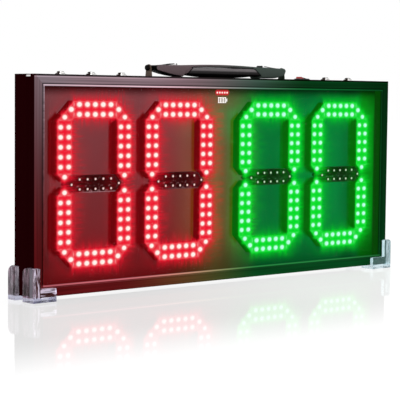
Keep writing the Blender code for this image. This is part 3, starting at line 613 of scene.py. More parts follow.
def dark_block(name, dark, glare):
    """A block that is off, with painted light as glow: a dim glow, painted reflections as a crescent
    over each LED of its lower row and as glare along its lower edge, a faint line inside its right
    end, and fine bright specks.

    The crescent is the upper left part of a thin ring about the LED.
    """
    finish = Finish(name, {"Base Color": (0.001, 0.001, 0.001), "Roughness": 0.4})
    finish.set({"Specular IOR Level": 0.02})
    along = finish.attribute("along")
    strength = finish.attribute("glare")
    x = in_cell(along)
    z = finish.z - MIDDLE + ROW
    away = (x * x + z * z) ** 0.5
    upper_left = ((z * 0.93 - x * 0.36) / away).rise(0.86, 0.96)
    ring = away.band(0.0036, 0.0041, 0.0047, 0.0052)
    crescent = ring * upper_left * abs(along).rise(0.034, 0.030)
    slant = (abs(along) + abs(finish.z - MIDDLE) - BLOCK_HALF) * ROOT_HALF
    tip_line = abs(slant + 0.0022).rise(0.0009, 0.0002) * along.rise(0.024, 0.030)
    patches = away.rise(0.0042, 0.0056) * z.rise(-0.0006, -0.0022) * along.band(-0.03, 0.0, 0.026, 0.032)
    low_line = abs(finish.z - MIDDLE + BLOCK_SLOPE - 0.0009).rise(0.0007, 0.0002)
    low_line = low_line * along.rise(-0.036, -0.01)
    rough = finish.grain(260.0).rise(0.30, 0.62)
    specks = finish.grain(420.0, 1.0).rise(0.69, 0.75) * 0.5
    bright = (patches * rough * strength).at_least(low_line * strength * 0.9)
    bright = bright.at_least(crescent * rough * 0.9).at_least(tip_line * rough * 0.08).at_least(specks)
    front = finish.y.rise(BLOCK_FACE + 0.0006, BLOCK_FACE + 0.0002)
    finish.glow(finish.mix(bright * front, dark, glare))
    return finish


def lit_led(name, core, halo):
    """A lit LED: nearly white at its tip, and more of its own colour at its foot."""
    finish = Finish(name, {"Base Color": (0.02, 0.02, 0.02), "Roughness": 0.3})
    finish.glow(finish.mix(finish.attribute("foot").rise(0.85, 1.0), core, halo))
    finish.glows_without_lighting()
    return finish


def dark_led(name, tint, glint):
    """A clear LED that is off: a dark dome with a dim glow and a small painted gleam round its tip."""
    finish = Finish(name, {"Base Color": (0.002, 0.002, 0.002), "Roughness": 0.1})
    finish.set({"Specular IOR Level": 0.1})
    finish.glow(finish.mix(finish.attribute("foot").rise(0.76, 0.46), tint, glint))
    finish.glows_without_lighting()
    return finish


for colour, look in LED_COLOURS.items():
    look["blocks"] = block_finish(f"{colour}_lit_block", look["wall"], look["glow"])
    look["off"] = dark_block(f"{colour}_dark_block", look["dark"], look["glare"])
    look["lit"] = lit_led(f"{colour}_led_on", look["core"], look["halo"])
    look["unlit"] = dark_led(f"{colour}_led_off", look["dark"], look["glint"])

dome, foot = led_shape()
lit_segments = segment_places()
lit_leds = led_places(lit_segments)
middle_leds = led_places([(0, 0, 0)])
wide, tall = BOARD_HALF
board = box_grid((-wide, BLOCK_BACK + OVERLAP, -tall), (wide, BOARD_FACE, tall))
for name, centre in DIGITS.items():
    look = LED_COLOURS["red" if centre < 0 else "green"]
    place = np.array([centre, 0, MIDDLE])
    blocks = surface(f"{name}_lit_blocks", spread(block_shape(), lit_segments) + place)
    show(blocks, look["blocks"], "board", [name])
    show(surface(f"{name}_corner_webs", corner_webs() + place), look["blocks"], "board")
    show(surface(f"{name}_board", board + place), plate_paint, "board")
    labels = {"along": block_shape()[..., 0], "glare": GLARE[name]}
    show(surface(f"{name}_middle_block", block_shape() + place, attributes=labels), look["off"], "board")
    domes = surface(f"{name}_lit_leds", spread(dome, lit_leds) + place, attributes={"foot": foot})
    show(domes, look["lit"], "board")
    domes = surface(f"{name}_middle_leds", spread(dome, middle_leds) + place, attributes={"foot": foot})
    show(domes, look["unlit"], "board")

# A clear sheet over the blocks carries the light of the LEDs, painted on it as glow: a white bloom
# round each LED, fine rays square to the outline of each digit, and a wide soft glow that fades
# into the plate.

FILM = FRONT + 0.0060
FILM_HALF = (0.302, 0.127)
LEVEL_BLOOM = (0.0037, 0.0030)
UPRIGHT_BLOOM = (0.0028, 0.0034)
SHORTEST_RAY = 0.0018
RAY_REACH = 0.0066
SOFT_REACH = 0.0078
WEB_HALF = 0.0026
SIDE_STEP = 0.008
STREAKS = (50.0, 560.0)


def led_bloom(along, over, reach_along, reach_over):
    """2 exp(-(u^2 + v^2)), held at 1: u and v are the distances to the nearest LED, in reaches."""
    in_rows = (in_cell(along) / reach_along) ** 2.0 + ((over - ROW) / reach_over) ** 2.0
    in_rows = in_rows.at_least((along - 0.032) * 700)
    at_tip = ((along - END_LED) / reach_along) ** 2.0 + (over / reach_over) ** 2.0
    return ((in_rows.at_most(at_tip) * -1.0).exponential() * 2.0).at_most(1.0)


def fading(distance, reach):
    """exp(-distance / reach)"""
    return (distance / reach * -1.0).exponential()


def flat_sheet(low, high, y):
    """The four corners of an upright rectangle from its low to its high (x, z)."""
    return np.array([[[x, y, z] for x in (low[0], high[0])] for z in (low[1], high[1])])


film = Finish("sheet_of_painted_led_glow", {"Base Color": (0.0, 0.0, 0.0), "Roughness": 0.6})
film.set({"Specular IOR Level": 0.0})
film.glows_without_lighting()
across = to_digit(film.x)
up = abs(film.z - MIDDLE)
level = (across, abs(up - RISE))
upright = (abs(up - RISE / 2), abs(across - SIDE))
level_distance = block_distance(*level)
upright_distance = block_distance(*upright)
beside_web = abs(across - up - (SIDE - 1.5 * RISE) / 2) * ROOT_HALF - WEB_HALF
along_web = (abs(across + up - (BLOCK_HALF + RISE - BLOCK_SLOPE)) - BLOCK_SLOPE) * ROOT_HALF
signed = level_distance.at_most(upright_distance).at_most(beside_web.at_least(along_web))
outside = signed.at_least(0.0)

# Left of a block the glow is short, and right of it long: there the next spot to the right lies
# nearer to the block, or further from it.
next_across = to_digit(film.x + SIDE_STEP)
next_level = block_distance(next_across, abs(up - RISE))
next_signed = next_level.at_most(block_distance(abs(up - RISE / 2), abs(next_across - SIDE)))
on_left = (signed - next_signed).rise(0.0008, 0.0054) * signed.rise(0.016, 0.006)
on_right = (next_signed - signed).rise(0.0008, 0.0054)

coarse, fine = STREAKS
side_rays = film.grain((coarse, 1.0, fine), 1.0)
end_rays = film.grain((fine, 1.0, coarse), 1.0)
beside_upright = (level_distance - upright_distance).rise(-0.002, 0.002)
rays = (end_rays * (1 - beside_upright) + side_rays * beside_upright).rise(0.35, 0.65)
ray_reach = (rays * RAY_REACH + SHORTEST_RAY) * (on_right * 0.35 - on_left * 0.72 + 1)
ray_light = fading(outside, ray_reach) * 0.9
soft_light = fading(outside, SOFT_REACH) * (0.45 - on_left * 0.42)
outline = abs(signed + 0.0011).rise(0.0007, 0.0001) * 0.22
sparkle = film.grain(900.0, 1.0).rise(0.66, 0.74) * signed.rise(0.0004, -0.0004) * 0.35
bloom = led_bloom(*level, *LEVEL_BLOOM).at_least(led_bloom(*upright, *UPRIGHT_BLOOM))
bloom = bloom.at_least(outline).at_least(sparkle)
below_lip = abs(film.z - MIDDLE).rise(0.127, 0.113)
green_side = film.x.rise(-0.001, 0.001)
ray_colour, halo_colour, core_colour = (
    film.mix(green_side, LED_COLOURS["red"][kind], LED_COLOURS["green"][kind])
    for kind in ("ray", "halo", "core")
)
film.glow(film.mix(bloom, ray_colour, film.mix(bloom, halo_colour, core_colour)))
film.set({"Alpha": (ray_light.at_least(soft_light) * below_lip).at_least(bloom)})
wide, tall = FILM_HALF
film_grid = flat_sheet((-wide, MIDDLE - tall), (wide, MIDDLE + tall), FILM)
film_mesh = surface("painted_led_glow_sheet", film_grid, wrap_columns=False, caps=False)
show(film_mesh, film, "board")

# The battery gauge is a small block below the middle of the top edge: five red LEDs in a row, over
# a white printed battery with five bars and a terminal. It has the paint of the plate.

GAUGE_X = 0.0007
GAUGE_HALF = 0.014
GAUGE_TOP = TOP - 0.0165
GAUGE_BOTTOM = TOP - 0.0375
GAUGE_FACE = FRONT + 0.0176
GAUGE_ROW = TOP - 0.0203
GAUGE_PITCH = 0.0046
GAUGE_LED = 0.0015
BATTERY_LOW = (-0.0070, TOP - 0.0347)
BATTERY_HIGH = (0.0086, TOP - 0.0269)
BARS = 5
BAR_SPAN = (0.22, 0.68)
LINE = 0.0006
NUB_LENGTH = 0.0018
NUB_HALF = 0.0022

gauge_low = (GAUGE_X - GAUGE_HALF, GAUGE_FACE, GAUGE_BOTTOM)
gauge_high = (GAUGE_X + GAUGE_HALF, BLOCK_BACK + OVERLAP, GAUGE_TOP)
gauge_block = surface("battery_gauge_block", box_grid(gauge_low, gauge_high))
show(gauge_block, plate_paint, "board", ["battery_indicator"])

small_dome = (dome - (0, BLOCK_FACE, 0)) * (GAUGE_LED / LED_RADIUS)
small_dome = small_dome + (0, GAUGE_FACE, 0)
gauge_leds = [(GAUGE_X + (i - 2) * GAUGE_PITCH, GAUGE_ROW, 0) for i in range(5)]
lenses = surface("battery_gauge_leds", spread(small_dome, gauge_leds), attributes={"foot": foot})
show(lenses, LED_COLOURS["red"]["lit"], "board")

# A sheet just in front of the gauge carries the red glow of its LEDs, painted on it.
gauge_glow = Finish("red_glow_of_gauge", {"Base Color": (0.0, 0.0, 0.0), "Specular IOR Level": 0.0})
beside = (abs(gauge_glow.x - GAUGE_X) - 2 * GAUGE_PITCH).at_least(0.0)
over_row = gauge_glow.z - GAUGE_ROW
away = (beside * beside + over_row * over_row) ** 0.5
gauge_glow.glow((0.85, 0.02, 0.04))
gauge_glow.set({"Alpha": away.rise(0.0052, 0.0012) * 0.95})
glow_low = (GAUGE_X - 0.018, GAUGE_ROW - 0.008)
glow_high = (GAUGE_X + 0.018, GAUGE_ROW + 0.006)
glow_sheet = flat_sheet(glow_low, glow_high, GAUGE_FACE - 0.0004)
show(surface("battery_gauge_glow", glow_sheet, wrap_columns=False, caps=False), gauge_glow, "board")

print_white = Finish("white_print", {"Base Color": (0.7, 0.7, 0.68), "Roughness": 0.5})
# The print also glows a little: painted light.
print_white.glow((1.0, 0.95, 0.93), 0.75)
(x0, z0), (x1, z1) = BATTERY_LOW, BATTERY_HIGH
bar_step = (x1 - x0) / BARS
start, end = BAR_SPAN
marks = [(x0 + (i + start) * bar_step, x0 + (i + end) * bar_step, z0, z1) for i in range(BARS)]
marks.append((x1, x1 + NUB_LENGTH, (z0 + z1) / 2 - NUB_HALF, (z0 + z1) / 2 + NUB_HALF))
marks.append((x0, x1, z1 - LINE, z1))
marks.append((x0, x1, z0, z0 + LINE))
ink_front, ink_back = GAUGE_FACE - 0.00025, GAUGE_FACE + 0.0002
printed = np.stack([
    box_grid((left, ink_front, low), (right, ink_back, high)) for left, right, low, high in marks
])
show(surface("battery_gauge_print", printed), print_white, "board")

# The front panel is a sheet of clear acrylic, smoked a little and polished. It stands close behind
# the lip of the frame, which holds it by its edges.

panel = Finish("smoked_clear_panel", {"Base Color": (0.012, 0.010, 0.010), "Roughness": 0.06})
panel.set({"Alpha": 0.06, "Specular IOR Level": 0.08})
dress(panel, "front_panel")

# Behind the plate are the controller board, its solder mask green over woven glass, the battery
# pack in a shrunk blue sleeve, and the lead in its black cover.

mask = Finish("green_solder_mask", {"Roughness": 0.35, "Coat Weight": 0.4})
weave = mask.grain(1300.0, 1.0)
mask.set({"Base Color": mask.mix(weave, (0.010, 0.085, 0.030), (0.022, 0.150, 0.055))})
dress(mask, "controller_board")

sleeve = Finish("shrunk_blue_sleeve", {"Base Color": (0.02, 0.08, 0.30), "Coat Weight": 0.3})
wrinkles = sleeve.grain((40.0, 220.0, 220.0), 3.0)
sleeve.set({"Roughness": wrinkles * 0.3 + 0.25})
sleeve.bump(wrinkles, 0.0003)
dress(sleeve, "battery_pack")

lead_cover = Finish("black_lead_cover", {"Base Color": (0.012, 0.012, 0.012)})
lead_cover.set({"Roughness": lead_cover.grain(500.0) * 0.2 + 0.45})
dress(lead_cover, "power_lead")

# The rear cover is sheet metal with a fine black powder coat. Eight pan-head screws of nickelled
# steel, each with a cross recess, hold it.

SCREW_HEAD = 0.0028
SCREW_SHANK = 0.0014
CROSS_ARMS = [(0.0017, 0.0003), (0.0003, 0.0017)]


def turned(profile, centre, axis="Z", steps=48):
    """A profile of (radius, height) turned about an axis through a centre: each point makes a ring."""
    radius, height = np.asarray(profile, float).T[:, :, None]
    a = radius * np.cos(circle(steps))
    b = radius * np.sin(circle(steps))
    c = np.broadcast_to(height, a.shape)
    order = {"Z": (a, b, c), "X": (c, a, b), "Y": (a, c, b)}[axis]
    return np.stack(order, axis=-1) + np.asarray(centre)


def rounded(corners, steps=6, closed=True):
    """An outline of (across, up), or of (across, up, reach) where a corner is eased.

    An eased corner is a parabola that leaves its two sides at reach from it.
    """
    corners, reach = np.split(np.array([(*corner, 0.0)[:3] for corner in corners]), [2], axis=1)
    before = np.roll(corners, 1, axis=0) - corners
    after = np.roll(corners, -1, axis=0) - corners
    if not closed:
        before[0] = after[0]
        after[-1] = before[-1]
        reach = reach * (np.arange(len(corners)) % (len(corners) - 1) > 0)[:, None]
    start = corners + before / np.linalg.norm(before, axis=1, keepdims=True) * reach
    end = corners + after / np.linalg.norm(after, axis=1, keepdims=True) * reach
    t = np.linspace(0, 1, steps)[None, :, None]
    curve = (1 - t) ** 2 * start[:, None] + 2 * t * (1 - t) * corners[:, None] + t ** 2 * end[:, None]
    return curve.reshape(-1, 2)


powder = Finish("black_powder_coat", {"Roughness": 0.55})
orange_peel = powder.grain(700.0)
powder.set({"Base Color": powder.mix(orange_peel, (0.014, 0.013, 0.013), (0.030, 0.028, 0.028))})
powder.bump(orange_peel, 0.00012)
dress(powder, "rear_cover")

nickel = Finish("nickel_plate", {"Base Color": (0.55, 0.53, 0.50), "Metallic": 1.0})
nickel.set({"Roughness": nickel.grain(800.0) * 0.15 + 0.22})
screw_profile = rounded(
    [
        (0, 0.0017), (SCREW_HEAD * 0.75, 0.0016, 0.0007), (SCREW_HEAD, 0.0008, 0.0004),
        (SCREW_HEAD, 0.0), (SCREW_SHANK, 0.0), (SCREW_SHANK, -0.005), (0, -0.005),
    ],
    closed=False,
)
screw_nodes = [f"cover_screw_{number}" for number in range(1, 9)]
screw_boxes = [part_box(node) for node in screw_nodes]
screw_spots = [((low.x + high.x) / 2, BACK, (low.z + high.z) / 2) for low, high in screw_boxes]
screws = np.stack([turned(screw_profile, spot, "Y", 24) for spot in screw_spots])
show(surface("cover_screws", screws), nickel, "board", screw_nodes)

# Each cross recess is a thin dark block in its screw head that stands for the shade in the recess: painted
# shade.
recess = Finish("shaded_cross_recess", {"Base Color": (0.03, 0.03, 0.03), "Roughness": 0.6, "Metallic": 1.0})
crosses = np.stack([
    box_grid((x - u, y + 0.0012, z - v), (x + u, y + 0.00172, z + v))
    for x, y, z in screw_spots
    for u, v in CROSS_ARMS
])
show(surface("screw_recesses", crosses), recess, "board")

# The charging socket is a barrel of moulded black plastic in a round hole of the right side, with
# its flange on the outside. A nickelled pin stands down its middle.

black_plastic = Finish("black_moulded_plastic", {"Base Color": (0.014, 0.013, 0.013)})
black_plastic.set({"Roughness": black_plastic.grain(400.0) * 0.2 + 0.32})
socket_low, socket_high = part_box("charge_socket")
socket_centre = (RIGHT, (socket_low.y + socket_high.y) / 2, (socket_low.z + socket_high.z) / 2)
socket_profile = rounded(
    [
        (0.0031, -0.013), (0.0031, 0.0018, 0.0003), (0.007, 0.0018, 0.0005),
        (0.007, 0.0003, 0.0001), (0.0055, 0.0003), (0.0055, -0.0165), (0, -0.0165),
    ],
    closed=False,
)
socket_profile = np.vstack([[(0, -0.013)], socket_profile])
barrel = surface("charge_socket_barrel", turned(socket_profile, socket_centre, "X"))
show(barrel, black_plastic, "board", ["charge_socket"])
contact_profile = rounded(
    [(0, -0.0055), (0.001, -0.0055, 0.0004), (0.001, -0.0129), (0, -0.0129)], closed=False
)
contact = surface("charge_socket_pin", turned(contact_profile, socket_centre, "X", 20))
show(contact, nickel, "board")

# Five push buttons stand in the top face: a chromed ring on a threaded barrel that a nut holds from
# inside, and a domed chromed cap that sinks 1.5 mm.

CONTROL_Y = FRONT + 0.0288
BUTTON_CENTRES = (-0.268, -0.219, -0.169, 0.219, 0.268)
RING_RADIUS = 0.0070
RING_TOP = 0.0021
THREAD_RADIUS = 0.006
CAP_RADIUS = 0.0050
CAP_TOP = 0.0049


def halves(grid, x):
    """The place across a button: below 0 to the back left of its axis, above 0 to the front right."""
    return (grid[..., 0] - x - grid[..., 1] + CONTROL_Y) / RING_RADIUS


# The chrome's reflection is painted into its colour: dark brown on the back left half of each button and
# near white on its front right half.
chrome = Finish("polished_chrome", {"Metallic": 1.0})
painted_bright_half = chrome.attribute("half").rise(-0.15, 0.15)
chrome.set({
    "Base Color": chrome.mix(painted_bright_half, (0.035, 0.022, 0.016), (0.95, 0.94, 0.92)),
    "Roughness": chrome.grain(300.0) * 0.08 + 0.06,
})
ring_profile = rounded([
    (0.0033, 0.0007), (CAP_RADIUS + 0.0003, 0.0007), (CAP_RADIUS + 0.0003, RING_TOP, 0.0004),
    (RING_RADIUS - 0.0004, RING_TOP, 0.0006), (RING_RADIUS, 0.0012, 0.0003), (RING_RADIUS, 0.0003),
    (THREAD_RADIUS, 0.0003), (THREAD_RADIUS, -0.022), (0.0045, -0.022), (0.0045, -0.008),
    (0.0033, -0.008),
])
cap_profile = rounded(
    [
        (0, CAP_TOP), (CAP_RADIUS * 0.5, CAP_TOP - 0.0001, 0.0012),
        (CAP_RADIUS - 0.0003, CAP_TOP - 0.0007, 0.0007), (CAP_RADIUS, CAP_TOP - 0.0016, 0.0003),
        (CAP_RADIUS, 0.0023, 0.0001), (0.003, 0.0023), (0.003, -0.0083), (0.0042, -0.0083),
        (0.0042, -0.0118), (0, -0.0118),
    ],
    closed=False,
)
for number, x in enumerate(BUTTON_CENTRES, start=1):
    centre = (x, CONTROL_Y, TOP)
    ring_grid, cap_grid = turned(ring_profile, centre), turned(cap_profile, centre)
    labels = {"half": halves(ring_grid, x)}
    ring = surface(f"button_ring_{number}", ring_grid, wrap_rows=True, caps=False, attributes=labels)
    show(ring, chrome, "board", [f"button_body_{number}"])
    cap = surface(f"button_dome_{number}", cap_grid, attributes={"half": halves(cap_grid, x)})
    show(cap, chrome, f"button_cap_{number}", [f"button_cap_{number}"])
    dress(nickel, f"button_nut_{number}")

# The power switch is a round bezel of black plastic on a rectangular sleeve, which fills a
# rectangular hole of the top face. A glossy red rocker tilts in its well on two small pins.

SWITCH_X = 0.169
BEZEL_RADIUS = 0.0115
BEZEL_TOP = 0.002
BEZEL_FOOT = 0.0003
WELL = (0.0089, 0.0059)
SLEEVE = (0.0097, 0.0074)
SLEEVE_DEPTH = 0.0086
PIVOT = -0.002
ROCKER_LONG = 0.0076
ROCKER_WIDE = 0.0056
BELLY_RADIUS = 0.006
TILT = radians(11.0)


def box_ring(half_x, half_y, angle):
    """Where rays at these angles leave a rectangle: the nearer of its two pairs of sides."""
    to_side = half_x / np.maximum(abs(np.cos(angle)), 1e-9)
    to_end = half_y / np.maximum(abs(np.sin(angle)), 1e-9)
    reach = np.minimum(to_side, to_end)
    return reach * np.cos(angle), reach * np.sin(angle)


def corner_angles(*rectangles, per_side=12):
    """Angles all the way round that include the corners of each rectangle."""
    corners = [np.arctan2(v * y, u * x) for x, y in rectangles for u in (-1, 1) for v in (-1, 1)]
    return np.unique(np.concatenate([np.linspace(-pi, pi, 4 * per_side, endpoint=False), corners]))


def bezel_grid(centre):
    """Rings from the foot of the well up its wall, over the round top and down to the sleeve's foot."""
    angle = corner_angles(WELL, SLEEVE)
    well = box_ring(*WELL, angle)
    wide_well = box_ring(WELL[0] + 0.0003, WELL[1] + 0.0003, angle)
    sleeve = box_ring(*SLEEVE, angle)
    rim = [(-0.0008, BEZEL_TOP), (-0.0002, BEZEL_TOP - 0.0003), (0, BEZEL_TOP - 0.0009), (0, BEZEL_FOOT)]
    rings = [(*well, -SLEEVE_DEPTH), (*well, BEZEL_TOP - 0.0003), (*wide_well, BEZEL_TOP)]
    rings += [
        ((BEZEL_RADIUS + inset) * np.cos(angle), (BEZEL_RADIUS + inset) * np.sin(angle), z)
        for inset, z in rim
    ]
    rings += [(*sleeve, BEZEL_FOOT), (*sleeve, -SLEEVE_DEPTH)]
    grid = np.stack([np.stack([x, y, np.full(angle.shape, z)], axis=-1) for x, y, z in rings])
    return grid + np.asarray(centre)


def slab(outline, centre_y, thickness, edge, steps=4):
    """A plate over an outline in X and Z, with rounded rims.

    Over the last stretch to each face, edge deep, the outline moves in by edge * (1 - cos a)
    while the plate goes on by edge * sin a, for a from 0 to 90 degrees.
    """
    outline = np.asarray(outline, float)
    following = np.roll(outline, -1, axis=0)
    area = np.sum(outline[:, 0] * following[:, 1] - following[:, 0] * outline[:, 1])
    outline = outline[np.linalg.norm(following - outline, axis=1) > 1e-7]
    along = np.roll(outline, -1, axis=0) - np.roll(outline, 1, axis=0)
    along = along / np.linalg.norm(along, axis=1, keepdims=True)
    outward = np.stack([along[:, 1], -along[:, 0]], axis=-1) * np.sign(area)
    a = np.linspace(0, pi / 2, steps)
    inset = np.concatenate([edge * (1 - np.cos(a[::-1])), edge * (1 - np.cos(a))])
    half = thickness / 2
    depth = np.concatenate([-(half - edge + edge * np.sin(a[::-1])), half - edge + edge * np.sin(a)])
    flat = outline[None] - outward[None] * inset[:, None, None]
    y = np.broadcast_to(centre_y + depth[:, None], flat.shape[:2])
    return np.stack([flat[..., 0], y, flat[..., 1]], axis=-1)


bezel = surface("switch_bezel", bezel_grid((SWITCH_X, CONTROL_Y, TOP)), wrap_rows=True, caps=False)
show(bezel, black_plastic, "board", ["rocker_bezel"])

ridge = (BEZEL_TOP - PIVOT) / cos(TILT)
end_height = ridge + ROCKER_LONG * sin(TILT) / cos(TILT)
crown = rounded(
    [
        (-ROCKER_LONG, 0.0), (-ROCKER_LONG, end_height, 0.0008), (0, ridge, 0.003),
        (ROCKER_LONG, end_height, 0.0008), (ROCKER_LONG, 0.0),
    ],
    closed=False,
)
belly = np.linspace(radians(-35), radians(-145), 10)
rocker_outline = np.vstack([crown, BELLY_RADIUS * np.stack([np.cos(belly), np.sin(belly)], axis=-1)])
spin = np.array([[cos(-TILT), -sin(-TILT)], [sin(-TILT), cos(-TILT)]])
rocker_outline = rocker_outline @ spin.T + (SWITCH_X, TOP + PIVOT)
red_plastic = Finish("red_glossy_plastic", {"Base Color": (0.50, 0.012, 0.010), "Coat Weight": 0.5})
red_plastic.set({"Roughness": red_plastic.grain(350.0) * 0.1 + 0.2})
rocker = surface("rocker_shell", slab(rocker_outline, CONTROL_Y, 2 * ROCKER_WIDE, 0.0006))
show(rocker, red_plastic, "rocker", ["rocker"])

# The middle of the handle is a moulded barrel of soft black rubber, boxier above than below. A
# painted highlight lies along its upper part, under a thin line of painted shade at its top. Hard
# grey plastic, like that of the ends, reaches over it up to a slanting seam. That part moves with
# the barrel, so it is painted on it.

HANDLE_Y = FRONT + 0.026
KNUCKLE_X = 0.0563
KNUCKLE_Z = TOP - 0.0038
GRIP_SEAM = 0.0176
GRIP_END = 0.0735
GRIP_HALF = 0.0129
GRIP_LOW = 0.0007
GRIP_LOW_RISE = 0.0026
GRIP_HIGH = 0.0141
CLOSING = np.linspace(0, 0.97, 7)

SHELL_GREYS_IN_DIGIT_LIGHT = ((0.130, 0.090, 0.098), (0.055, 0.075, 0.064))
SHADE = (0.0012, 0.0010, 0.0010)
PAINTED_HIGHLIGHT = (0.190, 0.172, 0.178)


def section(angle, half_y, half_z, square):
    """A rounded box section: cosine and sine to a power, which is 1 for an ellipse and 0 for a box."""
    c, s = np.cos(angle), np.sin(angle)
    return half_y * np.sign(c) * abs(c) ** square, half_z * np.sign(s) * abs(s) ** square


def smooth_step(value, start, end):
    """3 t^2 - 2 t^3, where t goes from 0 at start to 1 at end."""
    t = np.clip((value - start) / (end - start), 0, 1)
    return t * t * (3 - 2 * t)


def seam_x(z, radius):
    """X of the round seam about the knuckle at a height, and of the knuckle itself above it."""
    return KNUCKLE_X + np.sqrt(np.maximum(radius ** 2 - (z - KNUCKLE_Z) ** 2, 0.0))


def grip_grid():
    """Sections from seam to seam; at each end they shrink to a point on the round seam."""
    at_end = np.ones_like(CLOSING)
    travel = np.concatenate([-at_end, np.linspace(-1, 1, 41), at_end])[:, None]
    size = np.concatenate([CLOSING, np.ones(41), CLOSING[::-1]])[:, None]
    low = TOP + GRIP_LOW + GRIP_LOW_RISE * smooth_step(abs(travel) * GRIP_END, 0.028, GRIP_END)
    high = TOP + GRIP_HIGH
    angle = circle(48)
    square = np.where(np.sin(angle) > 0, 0.35, 0.62)
    y, z = section(angle, GRIP_HALF * size, (high - low) / 2 * size, square)
    z = z + (high + low) / 2
    return np.stack([travel * seam_x(z, GRIP_SEAM), HANDLE_Y + y, z], axis=-1)


def shell_colour(finish):
    """Grey with the light of the digits painted into it: warmer on the side of the red digits and
    greener on the side of the green ones, with fine sparks.
    """
    spark = finish.grain(1100.0, 1.0) * 0.3 + 0.85
    return finish.light(spark, finish.mix(finish.x.rise(-0.08, 0.08), *SHELL_GREYS_IN_DIGIT_LIGHT))


rubber = Finish("soft_black_rubber", {"Roughness": 0.62, "Specular IOR Level": 0.02})
dimples = rubber.grain(1500.0, 1.0)
rubber.bump(dimples, 0.00015)
above = rubber.z - TOP
# Painted highlight by height, strongest on the upper part and dark at the very top.
highlight = above.rise(0.0045, 0.0070) * 0.16 + above.rise(0.0082, 0.0108) * 0.84
highlight = highlight * above.rise(0.0143, 0.0140) * (dimples * 0.4 + 0.8)
on_right = rubber.x.rise(-0.02, 0.02)
seam = on_right * 0.0027 + 0.0553 + (0.0137 - above) * (on_right * 0.12 + 1.18)
past_seam = abs(rubber.x) - seam
soft = rubber.mix(highlight, SHADE, PAINTED_HIGHLIGHT)
hard = rubber.light(past_seam.rise(0.0018, 0.0022), shell_colour(rubber))
rubber.set({"Base Color": rubber.mix(past_seam.rise(-0.0004, 0.0), soft, hard)})
show(surface("grip_barrel", grip_grid()), rubber, "handle_grip", ["handle_grip"])

# The rim is a thin flat strap of hard grey plastic. It lies arched along the top of the barrel and
# moves with it.

RIM_HALF = 0.0120
RIM_HIGH = 0.0184
RIM_LOW = 0.0146
RIM_HIGH_DROP = 0.0013
RIM_LOW_DROP = 0.0004


def rim_grid():
    """A flat strap, thin and arched: its top follows a parabola from the middle to its ends."""
    end = KNUCKLE_X - 0.0002
    x = np.linspace(-end, end, 41)[:, None]
    arch = (x / end) ** 2
    high = TOP + RIM_HIGH - RIM_HIGH_DROP * arch
    low = TOP + RIM_LOW - RIM_LOW_DROP * arch
    y, z = section(circle(40), RIM_HALF, (high - low) / 2, 0.35)
    return np.stack(np.broadcast_arrays(x, HANDLE_Y + y, z + (high + low) / 2), axis=-1)


rim_finish = Finish("grey_rim_plastic", {"Roughness": 0.5, "Specular IOR Level": 0.2})
# Painted shade along the lower edge of the rim, and a painted highlight along its top.
above_arch = rim_finish.z - TOP + rim_finish.x * rim_finish.x * 0.41
rim_shade = above_arch.rise(0.0154, 0.0158) * (above_arch.rise(0.0174, 0.0179) * 0.6 + 0.8)
rim_finish.set({"Base Color": rim_finish.light(rim_shade, shell_colour(rim_finish))})
show(surface("grip_rim", rim_grid()), rim_finish, "handle_grip", ["handle_rim"])

# The ends of the handle are shells of hard grey plastic. Each has a light wedge-shaped pad on top
# and a black-headed pin through its tip, and it turns at its knuckle when the handle lifts.

SHELL_SEAM = 0.0180
SHELL_HALF = 0.0127
SHELL_TOP = [(0.0563, 0.0171), (0.075, 0.0165), (0.092, 0.0161), (0.110, 0.0157), (0.1179, 0.0156)]
SHELL_LOW = [(0.0737, 0.0006), (0.0745, 0.0006), (0.0894, 0.0022), (0.1018, 0.0044), (0.11886, 0.0084)]
SHELL_LOWERED = {-1: 0.0, 1: 0.0033}
PIN_RISE = 0.0117
PIN_AXIS = 0.0119
PIN_HEAD = 0.004
PIN_SHANK = 0.002
TIP = 0.1204
TIP_RADIUS = 0.0043
WEDGE_START = 0.0805
WEDGE_HIGH = 0.0190


def shell_grid(side):
    """Sections from the seam to the tip; the top and bottom lines end in one arc about the pin.

    The arc stands at the pin's height plus or minus sqrt(r^2 - (x - centre)^2). The bottom line of
    the right shell bows a little lower before its tip.
    """
    size = np.concatenate([CLOSING, np.ones(48)])[:, None]
    t = np.concatenate([np.zeros_like(CLOSING), 1 - (1 - np.linspace(0, 1, 48)) ** 2.0])[:, None]
    top_x = KNUCKLE_X + (TIP - KNUCKLE_X) * t
    low_start = seam_x(TOP + SHELL_LOW[0][1], SHELL_SEAM)
    low_x = low_start + (TIP - low_start) * t
    into_tip = [np.maximum(x - TIP + TIP_RADIUS, 0) for x in (top_x, low_x)]
    arc_top, arc_low = (np.sqrt(np.maximum(TIP_RADIUS ** 2 - x ** 2, 0)) for x in into_tip)
    top_line = np.interp(top_x, *np.transpose(SHELL_TOP))
    low_line = np.interp(low_x, *np.transpose(SHELL_LOW))
    high = TOP + np.where(top_x > SHELL_TOP[-1][0], PIN_RISE + arc_top, top_line)
    low = TOP + np.where(low_x > SHELL_LOW[-1][0], PIN_RISE - arc_low, low_line)
    bow = smooth_step(low_x, 0.078, 0.106) * smooth_step(low_x, TIP, TIP - 0.0025)
    low = low - SHELL_LOWERED[side] * bow
    y, z = section(circle(48), SHELL_HALF * size, (high - low) / 2 * size, 0.25)
    z = z + (high + low) / 2
    start = seam_x(z, SHELL_SEAM)
    return np.stack([side * (start + (TIP - start) * t), HANDLE_Y + y, z], axis=-1)


grey_plastic = Finish("grey_moulded_plastic", {"Roughness": 0.5, "Specular IOR Level": 0.06})
